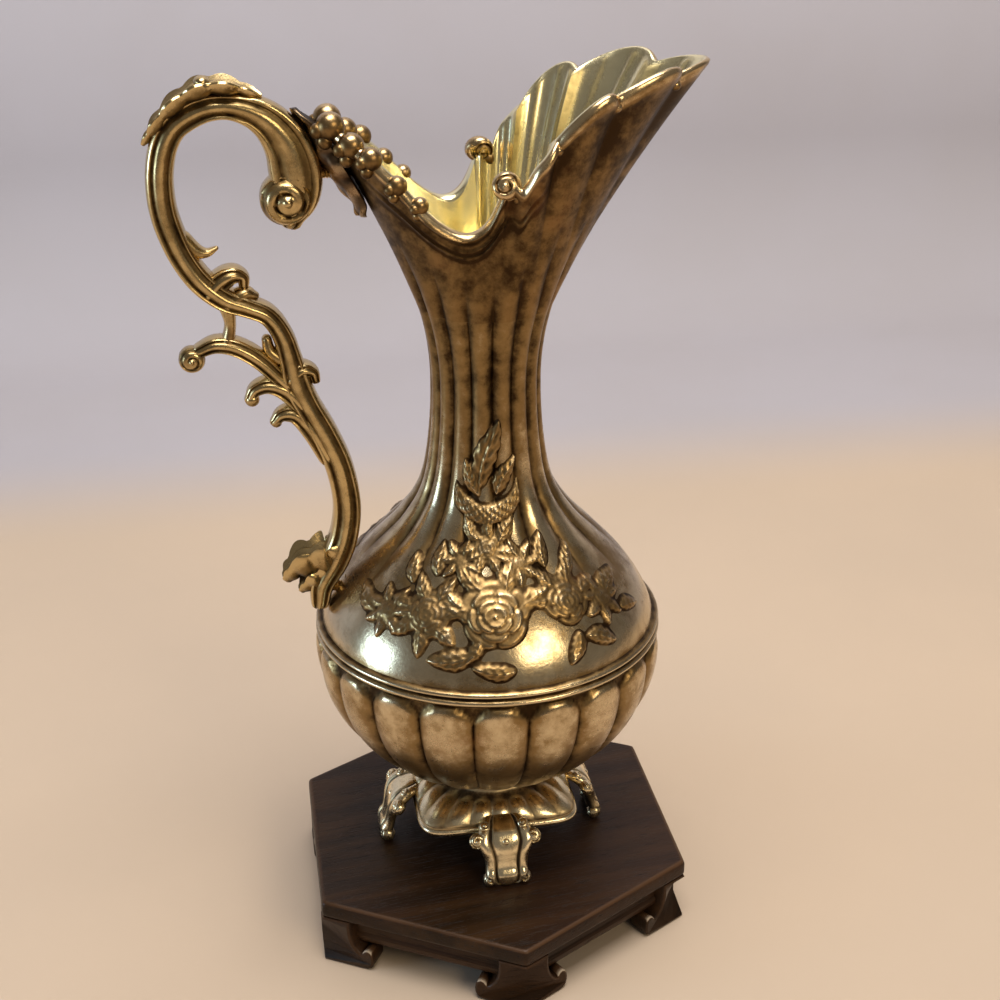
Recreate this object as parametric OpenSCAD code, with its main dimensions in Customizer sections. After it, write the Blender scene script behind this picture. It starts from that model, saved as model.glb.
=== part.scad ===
// Ornamental cast-metal ewer with a scroll handle, standing loose on a
// hexagonal wooden display stand. Millimetres, +Z up, the spout points to +X.
// Z = 0 is the surface under the stand's feet and X = 0, Y = 0 is the middle of
// the whole object's outline.

/* [Stand] */
// Width of the hexagonal stand across its corners
stand_w = 120; // [96:1:150]
// Height of the stand, from the table to its top face
stand_h = 20; // [16:1:30]
// Thickness of the top board
board_t = 5; // [3:0.5:8]
// Depth of the apron rails under the top board
rail_h = 8; // [5:0.5:10]
// Thickness of the apron rails
rail_t = 6; // [4:0.5:8]
// How far the rails stand back from the edge of the board
rail_inset = 2.5; // [1:0.5:5]
// Thickness of the bracket feet, measured in from the board's edge
bracket_t = 7; // [5:0.5:10]
// Length of each bracket foot's leg along one side
bracket_leg = 8; // [6:0.5:12]
// Length of each bracket foot's toe along one side
bracket_toe = 15; // [12:0.5:22]
// Height of the toe
toe_h = 6.5; // [4:0.5:8]

/* [Pedestal] */
// Reach of the scroll feet from the axis
feet_reach = 33; // [28:0.5:40]
// Width of each scroll foot at its toe
feet_w = 12.5; // [8:0.5:16]
// Half the width across the flat sides of the skirt
skirt_half = 22.5; // [20:0.5:28]
// Radius of the skirt at its corners
skirt_r = 30; // [27:0.5:36]
// Height of the skirt's lower edge
skirt_z = 12; // [8:0.5:15]
// Height of the pedestal casting
pedestal_h = 21; // [18:0.5:28]
// Wall of the pedestal casting
pedestal_wall = 2.5; // [2:0.25:4]
// Radius of the turned collar on top of the pedestal
collar_r = 15.5; // [12:0.5:20]
// Height of the collar
collar_h = 3; // [2:0.5:6]

/* [Bowl] */
// Radius of the bowl at its widest
bulb_r = 47; // [39:0.5:57]
// Height of the widest part of the bowl
bulb_z = 64; // [58:0.5:72]
// Wall of the vessel
wall = 1.8; // [1.2:0.1:3]
// Height of the lower edge of the belt moulding
belt_z = 68; // [64:0.5:76]
// Height of the belt moulding
belt_h = 4.5; // [3:0.5:8]
// How far the belt's two ridges stand out
belt_out = 0.9; // [0.4:0.1:1.5]

/* [Neck] */
// Radius of the neck at its narrowest
waist_r = 14; // [11.5:0.5:18]
// Height of the narrowest part of the neck
waist_z = 140; // [125:1:150]
// Radius of the neck where the mouth casting begins
neck_top_r = 17; // [14:0.5:22]
// Height at which the mouth casting begins
neck_top_z = 160; // [155:1:175]

/* [Mouth] */
// Reach of the spout's tip from the axis
spout_reach = 57; // [46:0.5:68]
// Height of the spout's tip
spout_z = 218; // [205:1:265]
// Height of the lowest part of the rim, at the sides
dip_z = 183; // [178:1:192]
// Reach of the rim's back from the axis
back_reach = 41; // [35:0.5:48]
// Height of the rim's back
back_z = 208; // [200:1:218]
// Wall of the mouth casting at its rim
mouth_wall = 2.2; // [1.6:0.1:3.5]
// Depth of the scallops along the spout's rim
scallop = 1.4; // [0:0.1:2.5]

/* [Handle] */
// Thickness of the handle's scrolls in the plane of the handle
scroll_t = 6.6; // [5:0.2:9]
// Width of the handle's scrolls across the plane of the handle
scroll_w = 8; // [6:0.2:11]
// Width of the leaf and of the flanged part of the handle
leaf_w = 14; // [10:0.5:18]
// Thickness of the acanthus leaf between the handle and the mouth
leaf_t = 5; // [3:0.5:7]
// How far the handle's ends are let into what they are soldered to
solder_in = 0.4; // [0.2:0.1:0.8]

/* [Fastenings] */
// Radius of the bolt that clamps the pedestal to the bowl
bolt_r = 2.5; // [2:0.25:3.5]
// Radius of the handle screws
screw_r = 1.5; // [1:0.25:2]
// Clearance round bolts and screws
clearance = 0.15; // [0.1:0.05:0.4]

/* [Hidden] */

$fn = 96;
eps = 0.01;

// Stand
side_half = stand_w / 4;
flat_r = stand_w / 2 * cos(30);
board_z = stand_h - board_t;

// Heights at which the handle's lower end meets the shoulder and its upper
// scroll meets the leaf on the mouth's back
anchor_low_z = bulb_z + 16;
anchor_high_z = back_z - 11;

// A smooth curve through stations [x, y], level at both ends.
function slope(p, i) = (i <= 0 || i >= len(p) - 1) ? 0 :
    (p[i + 1][1] - p[i - 1][1]) / (p[i + 1][0] - p[i - 1][0]);
function segment(x, p, i = 0) = (i >= len(p) - 2 || x < p[i + 1][0]) ? i : segment(x, p, i + 1);
function hermite(t, h, y0, y1, m0, m1) =
    y0 * (2 * t * t * t - 3 * t * t + 1) + h * m0 * (t * t * t - 2 * t * t + t)
    + y1 * (3 * t * t - 2 * t * t * t) + h * m1 * (t * t * t - t * t);
function smooth(x, p) =
    let (i = segment(x, p), h = p[i + 1][0] - p[i][0])
    hermite((x - p[i][0]) / h, h, p[i][1], p[i + 1][1], slope(p, i), slope(p, i + 1));

// How the shoulder falls from the bulb (1) to the waist (0) over its height.
shoulder_fall = [[0, 1], [0.14, 0.94], [0.27, 0.77], [0.40, 0.50], [0.50, 0.28], [0.62, 0.11],
    [0.78, 0.03], [1, 0]];

// Outer radius of the vessel at height z above the stand's top.
bowl_floor_z = pedestal_h + collar_h;
bowl_depth = (bulb_z - bowl_floor_z) / sqrt(1 - pow((collar_r - 0.5) / bulb_r, 2));
function vessel_r(z) =
    z < bulb_z ? bulb_r * sqrt(1 - pow((bulb_z - z) / bowl_depth, 2)) :
    z < waist_z ? waist_r + (bulb_r - waist_r) * smooth((z - bulb_z) / (waist_z - bulb_z), shoulder_fall) :
    waist_r + (neck_top_r - waist_r) * pow((z - waist_z) / (neck_top_z - waist_z), 2);

// A ring of the vessel from z0 to z1, between two offsets from its outer face.
module vessel_ring(z0, z1, out_from, out_to, steps = 24) {
    levels = [for (i = [0:steps]) z0 + (z1 - z0) * i / steps];
    rotate_extrude()
        polygon(concat(
            [for (z = levels) [vessel_r(z) + out_to, z]],
            [for (i = [steps:-1:0]) [vessel_r(levels[i]) + out_from, levels[i]]]
        ));
}

// Rim of the mouth: how far out (share of the spout's reach beyond the neck)
// and how high (share of the rise from the dip to the spout) at each angle.
back_share = (back_reach - neck_top_r) / (spout_reach - neck_top_r);
back_lift = (back_z - dip_z) / (spout_z - dip_z);
rim_plan = [[0, 1], [16, 0.82], [30, 0.62], [48, 0.43], [65, 0.30], [83, 0.16], [100, 0.09],
    [120, 0.15], [140, 0.27], [160, 0.46], [180, back_share]];
rim_rise = [[0, 1], [16, 1.03], [30, 0.97], [42, 0.91], [58, 0.73], [70, 0.50], [83, 0.36],
    [96, 0.09], [109, 0], [122, 0.05], [136, 0.20], [158, 0.54], [180, back_lift]];
lobe_end = 84;
lobe_span = 24;
function turn(a) = a > 180 ? 360 - a : a;
function lobe(a) = turn(a) < lobe_end ? scallop * abs(cos(turn(a) / lobe_span * 180)) : 0;
function rim_r(a) = neck_top_r + (spout_reach - scallop - neck_top_r) * smooth(turn(a), rim_plan) + lobe(a);
function rim_z(a) = dip_z + (spout_z - dip_z) * smooth(turn(a), rim_rise) + lobe(a);

// Outer face of the mouth casting at angle a and share t of its height.
flare = 0.8;
function mouth_r(a, t) = neck_top_r + (rim_r(a) - neck_top_r) * (flare * t + (1 - flare) * t * t);
function mouth_z(a, t) = neck_top_z + (rim_z(a) - neck_top_z) * t;
function mouth_in(t) = wall + (mouth_wall - wall) * t;
function mouth_point(a, t, inward) = [
    (mouth_r(a, t) - inward) * cos(a), (mouth_r(a, t) - inward) * sin(a), mouth_z(a, t)];
// Share of the mouth's height at height z behind the axis.
function back_t(z) = (z - neck_top_z) / (rim_z(180) - neck_top_z);
function back_face(z) = mouth_r(180, back_t(z));

// Handle: points as [distance outside the line between its two anchors,
// share of the rise between them].
anchor_low = [-vessel_r(anchor_low_z), anchor_low_z];
anchor_high = [-back_face(anchor_high_z) - leaf_t, anchor_high_z];
function place(p) = [
    anchor_low[0] + (anchor_high[0] - anchor_low[0]) * p[1] - p[0],
    anchor_low[1] + (anchor_high[1] - anchor_low[1]) * p[1]];
c_scroll = [[3.3, 0.925], [2.7, 0.965], [3.3, 1.015], [6, 1.065], [11, 1.10], [18.5, 1.125],
    [27.5, 1.12], [35.5, 1.07], [39, 0.985], [39, 0.89], [35, 0.81], [29.5, 0.755], [24.5, 0.715],
    [20, 0.70], [15, 0.67], [12, 0.625], [9.5, 0.56], [4, 0.49], [-0.8, 0.41], [-4, 0.32],
    [-5, 0.23], [-3.2, 0.14], [-0.5, 0.075], [1.2, 0.02], [1.4, -0.035]];
limb = [[10.4, 0.915], [9.4, 0.96], [9.4, 1.00], [10.8, 1.045], [14.5, 1.09], [20, 1.122]];
arch = [[33, 0.585], [29.5, 0.615], [24, 0.62], [18, 0.60], [13, 0.565], [9, 0.52]];
strut = [[24.5, 0.71], [24.5, 0.67], [24.5, 0.62]];
spur_long = [[19.5, 0.495], [17, 0.51], [12, 0.505], [7, 0.485], [3, 0.44]];
spur_short = [[12.5, 0.445], [9, 0.455], [5, 0.435], [1, 0.39]];
tail = [[12.5, 0.045], [9, 0.075], [4, 0.085], [0.5, 0.07]];
thorn = [[23, 0.845], [27, 0.835], [32, 0.83]];
crest = [[24, 1.13], [28, 1.16], [33, 1.145], [37.5, 1.09], [39.5, 1.04]];

// The stand's middle lies this far along X, so that the outline is centred.
handle_reach = scroll_t / 2 - min([for (p = curve([for (c = c_scroll) place(c)], 3)) p[0]]);
axis_x = (handle_reach - spout_reach) / 2;

// A point of a Catmull-Rom curve through p, and all its points at n steps a span.
function through(p, i, t) =
    let (a = p[max(i - 1, 0)], b = p[i], c = p[i + 1], d = p[min(i + 2, len(p) - 1)])
    0.5 * (2 * b + (c - a) * t + (2 * a - 5 * b + 4 * c - d) * t * t + (3 * b - a - 3 * c + d) * t * t * t);
function curve(p, n) = concat(
    [for (i = [0:len(p) - 2]) for (k = [0:n - 1]) through(p, i, k / n)], [p[len(p) - 1]]);

// A band along the points in the plane of the handle, half_t to each side, that
// tapers from start_share to end_share of its width.
module band(points, half_t, start_share = 1, end_share = 1, n = 3) {
    path = curve([for (p = points) place(p)], n);
    m = len(path);
    sides = [for (side = [1, -1]) [for (i = [0:m - 1])
        let (d = path[min(i + 1, m - 1)] - path[max(i - 1, 0)],
            reach = side * half_t * (start_share + (end_share - start_share) * i / (m - 1)) / norm(d))
        [path[i][0] - d[1] * reach, path[i][1] + d[0] * reach]]];
    polygon(concat(sides[0], [for (i = [m - 1:-1:0]) sides[1][i]]));
}

module knob(point, r) {
    translate(place(point)) circle(r, $fn = 32);
}

// Puts a piece of the ewer on the stand.
module on_stand() {
    translate([axis_x, 0, stand_h]) children();
}

module hexagon(flat, h) {
    linear_extrude(h) rotate(30) circle(flat / cos(30), $fn = 6);
}

module stand_top() {
    color([0.17, 0.10, 0.07])
        translate([axis_x, 0, board_z]) hexagon(flat_r, board_t);
}

module apron_rail(k) {
    color([0.15, 0.09, 0.06])
        translate([axis_x, 0, board_z - rail_h])
            rotate(60 * k)
                translate([flat_r - rail_inset - rail_t, -side_half + bracket_leg, 0])
                    cube([rail_t, 2 * (side_half - bracket_leg), rail_h]);
}

// Plan of a bracket foot: two wings of the given length that meet at a corner
// of the hexagon on +X.
module bracket_plan(length) {
    corner = [stand_w / 2, 0];
    along = [-cos(60), sin(60)];
    inward = [-cos(30), -sin(30)];
    tip = corner + length * along;
    heel = tip + bracket_t * inward;
    inner = [stand_w / 2 - bracket_t / cos(30), 0];
    polygon([corner, tip, heel, inner, [heel[0], -heel[1]], [tip[0], -tip[1]]]);
}

module bracket_foot(k) {
    color([0.18, 0.11, 0.07])
        translate([axis_x, 0, 0]) rotate(60 * k + 30) {
            translate([0, 0, toe_h]) linear_extrude(board_z - toe_h) bracket_plan(bracket_leg);
            linear_extrude(toe_h) bracket_plan(bracket_toe);
        }
}

// Skirt and dome of the pedestal, grown or shrunk by inset.
module pedestal_form(inset) {
    r = skirt_r - inset;
    top = pedestal_h - inset;
    intersection() {
        rotate_extrude()
            polygon([[0, skirt_z], [r, skirt_z], [r, skirt_z + 2], [r - 1, skirt_z + 4],
                [r - 6, top - 3.2], [r - 10, top - 1.6], [collar_r, top - 0.4],
                [collar_r - 1, top], [0, top]]);
        translate([-skirt_half + inset, -skirt_half + inset, 0])
            cube([2 * (skirt_half - inset), 2 * (skirt_half - inset), pedestal_h]);
    }
}

module pedestal() {
    color([0.62, 0.53, 0.36])
        on_stand() difference() {
            pedestal_form(0);
            translate([0, 0, -eps]) pedestal_form(pedestal_wall);
            translate([0, 0, skirt_z]) cylinder(r = bolt_r + clearance, h = pedestal_h);
        }
}

module scroll_foot(k) {
    shoulder = feet_w / 2 + 2.5;
    ankle = feet_w / 2 - 0.5;
    toe = feet_w / 2;
    color([0.66, 0.56, 0.37])
        on_stand() rotate(90 * k) intersection() {
            rotate([90, 0, 0]) linear_extrude(2 * shoulder, center = true)
                polygon([[skirt_half, skirt_z + 5], [skirt_half + 3.5, skirt_z + 4.5],
                    [feet_reach - 4, skirt_z], [feet_reach - 2.5, 7], [feet_reach, 4], [feet_reach, 1],
                    [feet_reach - 1, 0], [feet_reach - 5, 0], [feet_reach - 6.5, 4],
                    [feet_reach - 7.5, 8], [skirt_half, skirt_z]]);
            rotate([90, 0, 90]) linear_extrude(feet_reach)
                polygon([[-toe, 0], [toe, 0], [toe, 4], [ankle, 7], [ankle, skirt_z - 2],
                    [shoulder, skirt_z + 1], [shoulder, skirt_z + 4], [ankle, skirt_z + 5],
                    [-ankle, skirt_z + 5], [-shoulder, skirt_z + 4], [-shoulder, skirt_z + 1],
                    [-ankle, skirt_z - 2], [-ankle, 7], [-toe, 4]]);
        }
}

module collar() {
    bead = collar_h / 2;
    color([0.45, 0.36, 0.22])
        on_stand() difference() {
            translate([0, 0, pedestal_h]) union() {
                cylinder(r = collar_r - bead / 2, h = collar_h);
                translate([0, 0, bead]) rotate_extrude()
                    translate([collar_r - bead / 2, 0]) circle(bead, $fn = 32);
            }
            translate([0, 0, pedestal_h - eps]) cylinder(r = bolt_r + clearance, h = collar_h + 1);
        }
}

bowl_base_t = 2.5;
module lower_bowl() {
    steps = 20;
    floor_z = bowl_floor_z + bowl_base_t;
    color([0.68, 0.56, 0.33])
        on_stand() difference() {
            rotate_extrude()
                polygon(concat([[0, bowl_floor_z]],
                    [for (i = [0:steps])
                        let (z = bowl_floor_z + (belt_z - bowl_floor_z) * pow(i / steps, 2))
                        [vessel_r(z), z]],
                    [for (i = [steps:-1:0])
                        let (z = floor_z + (belt_z - floor_z) * pow(i / steps, 2)) [vessel_r(z) - wall, z]],
                    [[0, floor_z]]));
            translate([0, 0, bowl_floor_z - eps])
                cylinder(r = bolt_r + clearance, h = bowl_base_t + 1);
        }
}

module belt_band() {
    ridge = belt_h / 4;
    color([0.60, 0.50, 0.31])
        on_stand() rotate_extrude()
            polygon([
                [vessel_r(belt_z) - wall, belt_z],
                [vessel_r(belt_z), belt_z],
                [vessel_r(belt_z + ridge) + belt_out, belt_z + ridge],
                [vessel_r(belt_z + 2 * ridge), belt_z + 2 * ridge],
                [vessel_r(belt_z + 3 * ridge) + belt_out, belt_z + 3 * ridge],
                [vessel_r(belt_z + belt_h), belt_z + belt_h],
                [vessel_r(belt_z + belt_h) - wall, belt_z + belt_h]]);
}

body_z = belt_z + belt_h;
module upper_body() {
    color([0.58, 0.50, 0.36])
        on_stand() difference() {
            vessel_ring(body_z, neck_top_z, -wall, 0, 40);
            low_screw_axis() cylinder(r = screw_r + clearance, h = 20, center = true, $fn = 24);
        }
}

module spout_mouth() {
    around = 72;
    rows = 9;
    levels = concat([for (i = [0:rows]) [i / rows, 0]],
        [for (i = [rows:-1:0]) [i / rows, mouth_in(i / rows)]]);
    n = len(levels);
    points = [for (l = levels) for (k = [0:around - 1]) mouth_point(k * 360 / around, l[0], l[1])];
    faces = [for (i = [0:n - 1]) for (k = [0:around - 1])
        let (j = (i + 1) % n, m = (k + 1) % around)
        [i * around + k, j * around + k, j * around + m, i * around + m]];
    color([0.62, 0.50, 0.28])
        on_stand() difference() {
            polyhedron(points, faces, convexity = 6);
            screw_axis() cylinder(r = screw_r + clearance, h = 40, center = true, $fn = 24);
        }
}

volute_angle = 84;
volute_r = 3;
module rim_volute(side) {
    p = mouth_point(volute_angle, 1, mouth_wall / 2);
    color([0.70, 0.58, 0.34])
        on_stand() translate([p[0], side * p[1], p[2]])
            sphere(volute_r, $fn = 32);
}

berry_r = 3;
berry_angles = [172, 164, 155, 146, 136];
module rim_berries(side) {
    color([0.60, 0.48, 0.30])
        on_stand() for (i = [0:len(berry_angles) - 1])
            let (p = mouth_point(berry_angles[i], 1 - 0.03 * (i % 2), mouth_wall / 2))
                translate([p[0], side * p[1], p[2]])
                    sphere(berry_r - 0.15 * i, $fn = 32);
}

// Relief of roses, bud, leaves and shell on the shoulder: its flowers and
// leaves as [angle from the spray's middle, height above the bowl's widest
// part, radius].
relief_t = 1.8;
spray = [[0, 25, 9], [30, 25, 6.5], [-28, 24, 6.5], [-3, 36, 5], [46, 22, 5], [-45, 22, 5],
    [-7, 16, 5], [18, 16, 4.5], [-4, 49, 4.5], [-4, 60, 3]];
module rose_spray(side) {
    color([0.66, 0.56, 0.38])
        on_stand() intersection() {
            vessel_ring(body_z, neck_top_z, 0, relief_t, 40);
            for (f = spray)
                rotate(side * (90 + f[0])) translate([0, 0, bulb_z + f[1]]) rotate([0, 90, 0])
                    cylinder(r = f[2], h = 2 * bulb_r, $fn = 32);
        }
}

// The handle's screws run level: one through the mouth's back and the leaf, one
// through the shoulder.
top_screw_z = anchor_high_z - 2;
module screw_axis() {
    translate([anchor_high[0], 0, top_screw_z]) rotate([0, 90, 0]) children();
}
low_screw = place([0, 0.02]);
module low_screw_axis() {
    translate([low_screw[0], 0, low_screw[1]]) rotate([0, 90, 0]) children();
}

// The leaf swells to its full thickness halfway up and curls out at its tip.
leaf_below = 14;
leaf_steps = 8;
leaf_step = 2.6;
module back_leaf() {
    low = anchor_high_z - leaf_below;
    steps = [0:leaf_steps];
    outer = [for (i = steps)
        let (z = low + i * leaf_step) [-back_face(z) - leaf_t * sin(20 + 20 * i), z]];
    inner = [for (i = steps)
        let (z = low + (leaf_steps - i) * leaf_step) [-back_face(z) + solder_in, z]];
    tip_z = back_z + 2.5;
    color([0.42, 0.35, 0.27])
        on_stand() difference() {
            rotate([90, 0, 0]) linear_extrude(leaf_w, center = true)
                polygon(concat(outer, [[-back_reach - 3.5, tip_z], [-back_reach - 1, tip_z]], inner));
            screw_axis() cylinder(r = screw_r + clearance, h = 40, center = true, $fn = 24);
        }
}

// Outline of the handle's scrolls in its own plane, with every band grown.
module handle_plan(grow) {
    half = scroll_t / 2;
    band(c_scroll, half + grow);
    band(limb, 1.5 * half + grow, 1, 0.5);
    band(arch, 0.72 * half + grow);
    band(strut, 0.55 * half + grow);
    band(spur_long, 0.6 * half + grow, 0.7, 1.2);
    band(spur_short, 0.6 * half + grow, 0.5, 1.2);
    band(thorn, 0.5 * half + grow, 0.3, 1.3);
    knob([8.8, 0.93], 1.95 * half + grow);
    knob([33, 0.585], half + grow);
    knob([19.5, 0.49], 0.6 * half + grow);
}

module upright(width) {
    rotate([90, 0, 0]) linear_extrude(width, center = true) children();
}

module handle() {
    chamfer = 0.2 * scroll_w;
    color([0.64, 0.52, 0.28])
        on_stand() difference() {
            union() {
                upright(scroll_w) handle_plan(-0.25 * scroll_t / 2);
                upright(scroll_w - 2 * chamfer) handle_plan(0);
                upright(0.8 * leaf_w) band(tail, scroll_t / 2, 0.4, 1);
                upright(leaf_w) band(crest, 0.8 * scroll_t / 2, 1, 0.4);
            }
            vessel_ring(body_z + 1, waist_z, -wall - 10, -solder_in, 24);
            screw_axis() cylinder(r = screw_r, h = 12, center = true, $fn = 24);
            low_screw_axis() cylinder(r = screw_r, h = 9, center = true, $fn = 24);
        }
}

// A round-headed screw along X whose head bears at x = 0 and whose shank runs to -X.
module round_screw(length) {
    head_r = 2 * screw_r;
    rotate([0, -90, 0]) cylinder(r = screw_r, h = length, $fn = 24);
    rotate([0, 90, 0]) cylinder(r = head_r, h = screw_r, $fn = 32);
}

module handle_top_screw() {
    color([0.70, 0.62, 0.42])
        on_stand() translate([-back_face(top_screw_z) + mouth_wall + 0.4, 0, top_screw_z])
            round_screw(mouth_wall + leaf_t + 4);
}

module handle_bottom_screw() {
    color([0.70, 0.62, 0.42])
        on_stand() translate([low_screw[0] + wall + 1.4, 0, low_screw[1]])
            round_screw(wall + 5);
}

washer_t = 1;
nut_h = 4;
module foot_bolt() {
    head_z = pedestal_h - pedestal_wall;
    end_z = bowl_floor_z + bowl_base_t + washer_t + nut_h + 2;
    color([0.55, 0.53, 0.50])
        on_stand() union() {
            translate([0, 0, head_z])
                cylinder(r = bolt_r, h = end_z - head_z, $fn = 32);
            translate([0, 0, head_z - bolt_r]) cylinder(r = 2 * bolt_r, h = bolt_r, $fn = 6);
        }
}

module foot_washer() {
    color([0.60, 0.58, 0.55])
        on_stand() translate([0, 0, bowl_floor_z + bowl_base_t]) difference() {
            cylinder(r = 2.4 * bolt_r, h = washer_t, $fn = 32);
            translate([0, 0, -eps]) cylinder(r = bolt_r + clearance, h = washer_t + 1, $fn = 32);
        }
}

module foot_nut() {
    color([0.58, 0.50, 0.30])
        on_stand() translate([0, 0, bowl_floor_z + bowl_base_t + washer_t]) difference() {
            cylinder(r = 2 * bolt_r, h = nut_h, $fn = 6);
            translate([0, 0, -eps]) cylinder(r = bolt_r, h = nut_h + 1, $fn = 32);
        }
}

stand_top();
for (k = [1:6]) apron_rail(k);
for (k = [1:6]) bracket_foot(k);
pedestal();
for (k = [1:4]) scroll_foot(k);
collar();
lower_bowl();
belt_band();
upper_body();
spout_mouth();
rim_volute(1);  // rim_volute_left
rim_volute(-1);  // rim_volute_right
rim_berries(1);  // rim_berries_left
rim_berries(-1);  // rim_berries_right
rose_spray(-1);  // rose_spray_front
rose_spray(1);  // rose_spray_back
back_leaf();
handle();
handle_top_screw();
handle_bottom_screw();
foot_bolt();
foot_washer();
foot_nut();
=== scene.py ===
import math

import bmesh
import bpy
import numpy as np
from mathutils import Matrix, Vector


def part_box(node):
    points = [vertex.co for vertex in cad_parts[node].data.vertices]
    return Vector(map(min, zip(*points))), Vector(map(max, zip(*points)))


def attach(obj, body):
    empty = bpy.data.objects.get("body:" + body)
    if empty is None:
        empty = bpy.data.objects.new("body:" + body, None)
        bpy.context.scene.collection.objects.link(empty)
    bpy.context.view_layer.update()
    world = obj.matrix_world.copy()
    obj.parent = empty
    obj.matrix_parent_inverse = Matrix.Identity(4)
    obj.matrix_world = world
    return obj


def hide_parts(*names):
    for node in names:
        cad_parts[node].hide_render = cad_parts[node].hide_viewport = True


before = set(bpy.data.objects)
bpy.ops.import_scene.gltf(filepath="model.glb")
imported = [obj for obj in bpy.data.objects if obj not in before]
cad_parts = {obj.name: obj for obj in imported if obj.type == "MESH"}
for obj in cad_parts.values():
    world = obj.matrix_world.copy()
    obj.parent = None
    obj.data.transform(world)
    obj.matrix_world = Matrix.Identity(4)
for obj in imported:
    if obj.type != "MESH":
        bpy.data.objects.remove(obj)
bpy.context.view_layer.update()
scene = bpy.context.scene

# ---------------------------------------------------------------------------
# Camera: a fairly long lens, above and a little left of the ewer's flank.
# Its place is counted from the ewer's axis at the stand's top.
board_low, board_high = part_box("stand_top")
AXIS = np.array([(board_low.x + board_high.x) / 2, 0.0, board_high.z])
MM = 0.001
LOOK, EYE_MM, ROLL = (0.15343, 0.89441, -0.42005), (-60.7, -375.6, 280.5), math.radians(-0.27)
LENS_MM, SENSOR_MM = 55.87, 36


def row_frame(points):
    """Points in mm from the ewer's axis, as metres in the row frame."""
    return AXIS + np.asarray(points, float) * MM


forward = Vector(LOOK).normalized()
level = forward.cross(Vector((0, 0, 1))).normalized()
upward = level.cross(forward)
right = level * math.cos(ROLL) + upward * math.sin(ROLL)
above = upward * math.cos(ROLL) - level * math.sin(ROLL)
camera = bpy.data.objects.new("camera", bpy.data.cameras.new("camera"))
camera.data.lens, camera.data.sensor_width = LENS_MM, SENSOR_MM
camera.data.clip_start, camera.data.clip_end = 0.01, 20
camera.matrix_world = Matrix((right, above, -forward)).transposed().to_4x4()
camera.location = row_frame(EYE_MM)
scene.collection.objects.link(camera)
scene.camera = camera

# ---------------------------------------------------------------------------
# Floor and backdrop: one pale sheet that runs back from under the stand and
# curves up into a plain wall. It isn't part of the object.
FLOOR_WARM, WALL_COOL, WALL_PALE = (0.56, 0.445, 0.335), (0.445, 0.425, 0.46), (0.69, 0.69, 0.78)
FLECK = (0.36, 0.31, 0.26)
SWEEP_R, WALL_Y, HALF_ROOM, FRONT_Y, ROOM_H = 0.10, 0.56, 3.0, -2.2, 2.4
profile = [(FRONT_Y, 0.0), (WALL_Y - SWEEP_R, 0.0)]
profile += [(WALL_Y - SWEEP_R + SWEEP_R * math.sin(t), SWEEP_R - SWEEP_R * math.cos(t))
            for t in np.linspace(0.1, math.pi / 2, 14)]
profile += [(WALL_Y, ROOM_H)]
sheet = bpy.data.meshes.new("backdrop")
sheet.from_pydata(
    [(x, y, z) for y, z in profile for x in (-HALF_ROOM, HALF_ROOM)], [],
    [(2 * i, 2 * i + 1, 2 * i + 3, 2 * i + 2) for i in range(len(profile) - 1)])
sheet.shade_smooth()
backdrop = bpy.data.objects.new("backdrop", sheet)
scene.collection.objects.link(backdrop)


class Nodes:
    """Short way to add nodes to a material or group and to join their sockets."""

    def __init__(self, tree):
        self.tree = tree

    def add(self, kind, **settings):
        node = self.tree.nodes.new("ShaderNode" + kind)
        for name, value in settings.items():
            setattr(node, name, value)
        return node

    def set(self, node, **values):
        for name, value in values.items():
            node.inputs[name.replace("_", " ")].default_value = value
        return node

    def join(self, out, into):
        self.tree.links.new(out, into)

    def math(self, operation, a, b):
        node = self.add("Math", operation=operation)
        for socket, value in zip(node.inputs, (a, b)):
            if isinstance(value, (int, float)):
                socket.default_value = value
            else:
                self.join(value, socket)
        return node.outputs[0]

    def swing(self, value, amount):
        """Value moved to lie about 0 and scaled."""
        return self.math("MULTIPLY", self.math("SUBTRACT", value, 0.5), amount)

    def blend(self, share, a, b):
        """Colour from a to b as share goes from 0 to 1."""
        node = self.add("Mix", data_type="RGBA")
        for k, value in ((0, share), (6, a), (7, b)):
            if isinstance(value, (int, float)):
                node.inputs[k].default_value = value
            elif isinstance(value, tuple):
                node.inputs[k].default_value = (*value, 1)
            else:
                self.join(value, node.inputs[k])
        return node.outputs[2]

    def span(self, value, low, high, to_low=0.0, to_high=1.0):
        """Value from low..high eased to to_low..to_high."""
        node = self.add("MapRange", interpolation_type="SMOOTHSTEP")
        self.join(value, node.inputs[0])
        for k, number in enumerate((low, high, to_low, to_high)):
            node.inputs[1 + k].default_value = number
        return node.outputs[0]

    def noise(self, coordinates, scale, detail=4.0, rough=0.5, stretch=None):
        node = self.add("TexNoise")
        self.set(node, Scale=scale, Detail=detail, Roughness=rough)
        if stretch:
            mapping = self.add("Mapping")
            mapping.inputs["Scale"].default_value = stretch
            self.join(coordinates, mapping.inputs["Vector"])
            coordinates = mapping.outputs[0]
        self.join(coordinates, node.inputs["Vector"])
        return node.outputs["Fac"]


def new_material(name):
    material = bpy.data.materials.new(name)
    material.use_nodes = True
    material.node_tree.nodes.clear()
    nodes = Nodes(material.node_tree)
    surface = nodes.add("BsdfPrincipled")
    nodes.join(surface.outputs[0], nodes.add("OutputMaterial").inputs["Surface"])
    return material, nodes, surface


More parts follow.
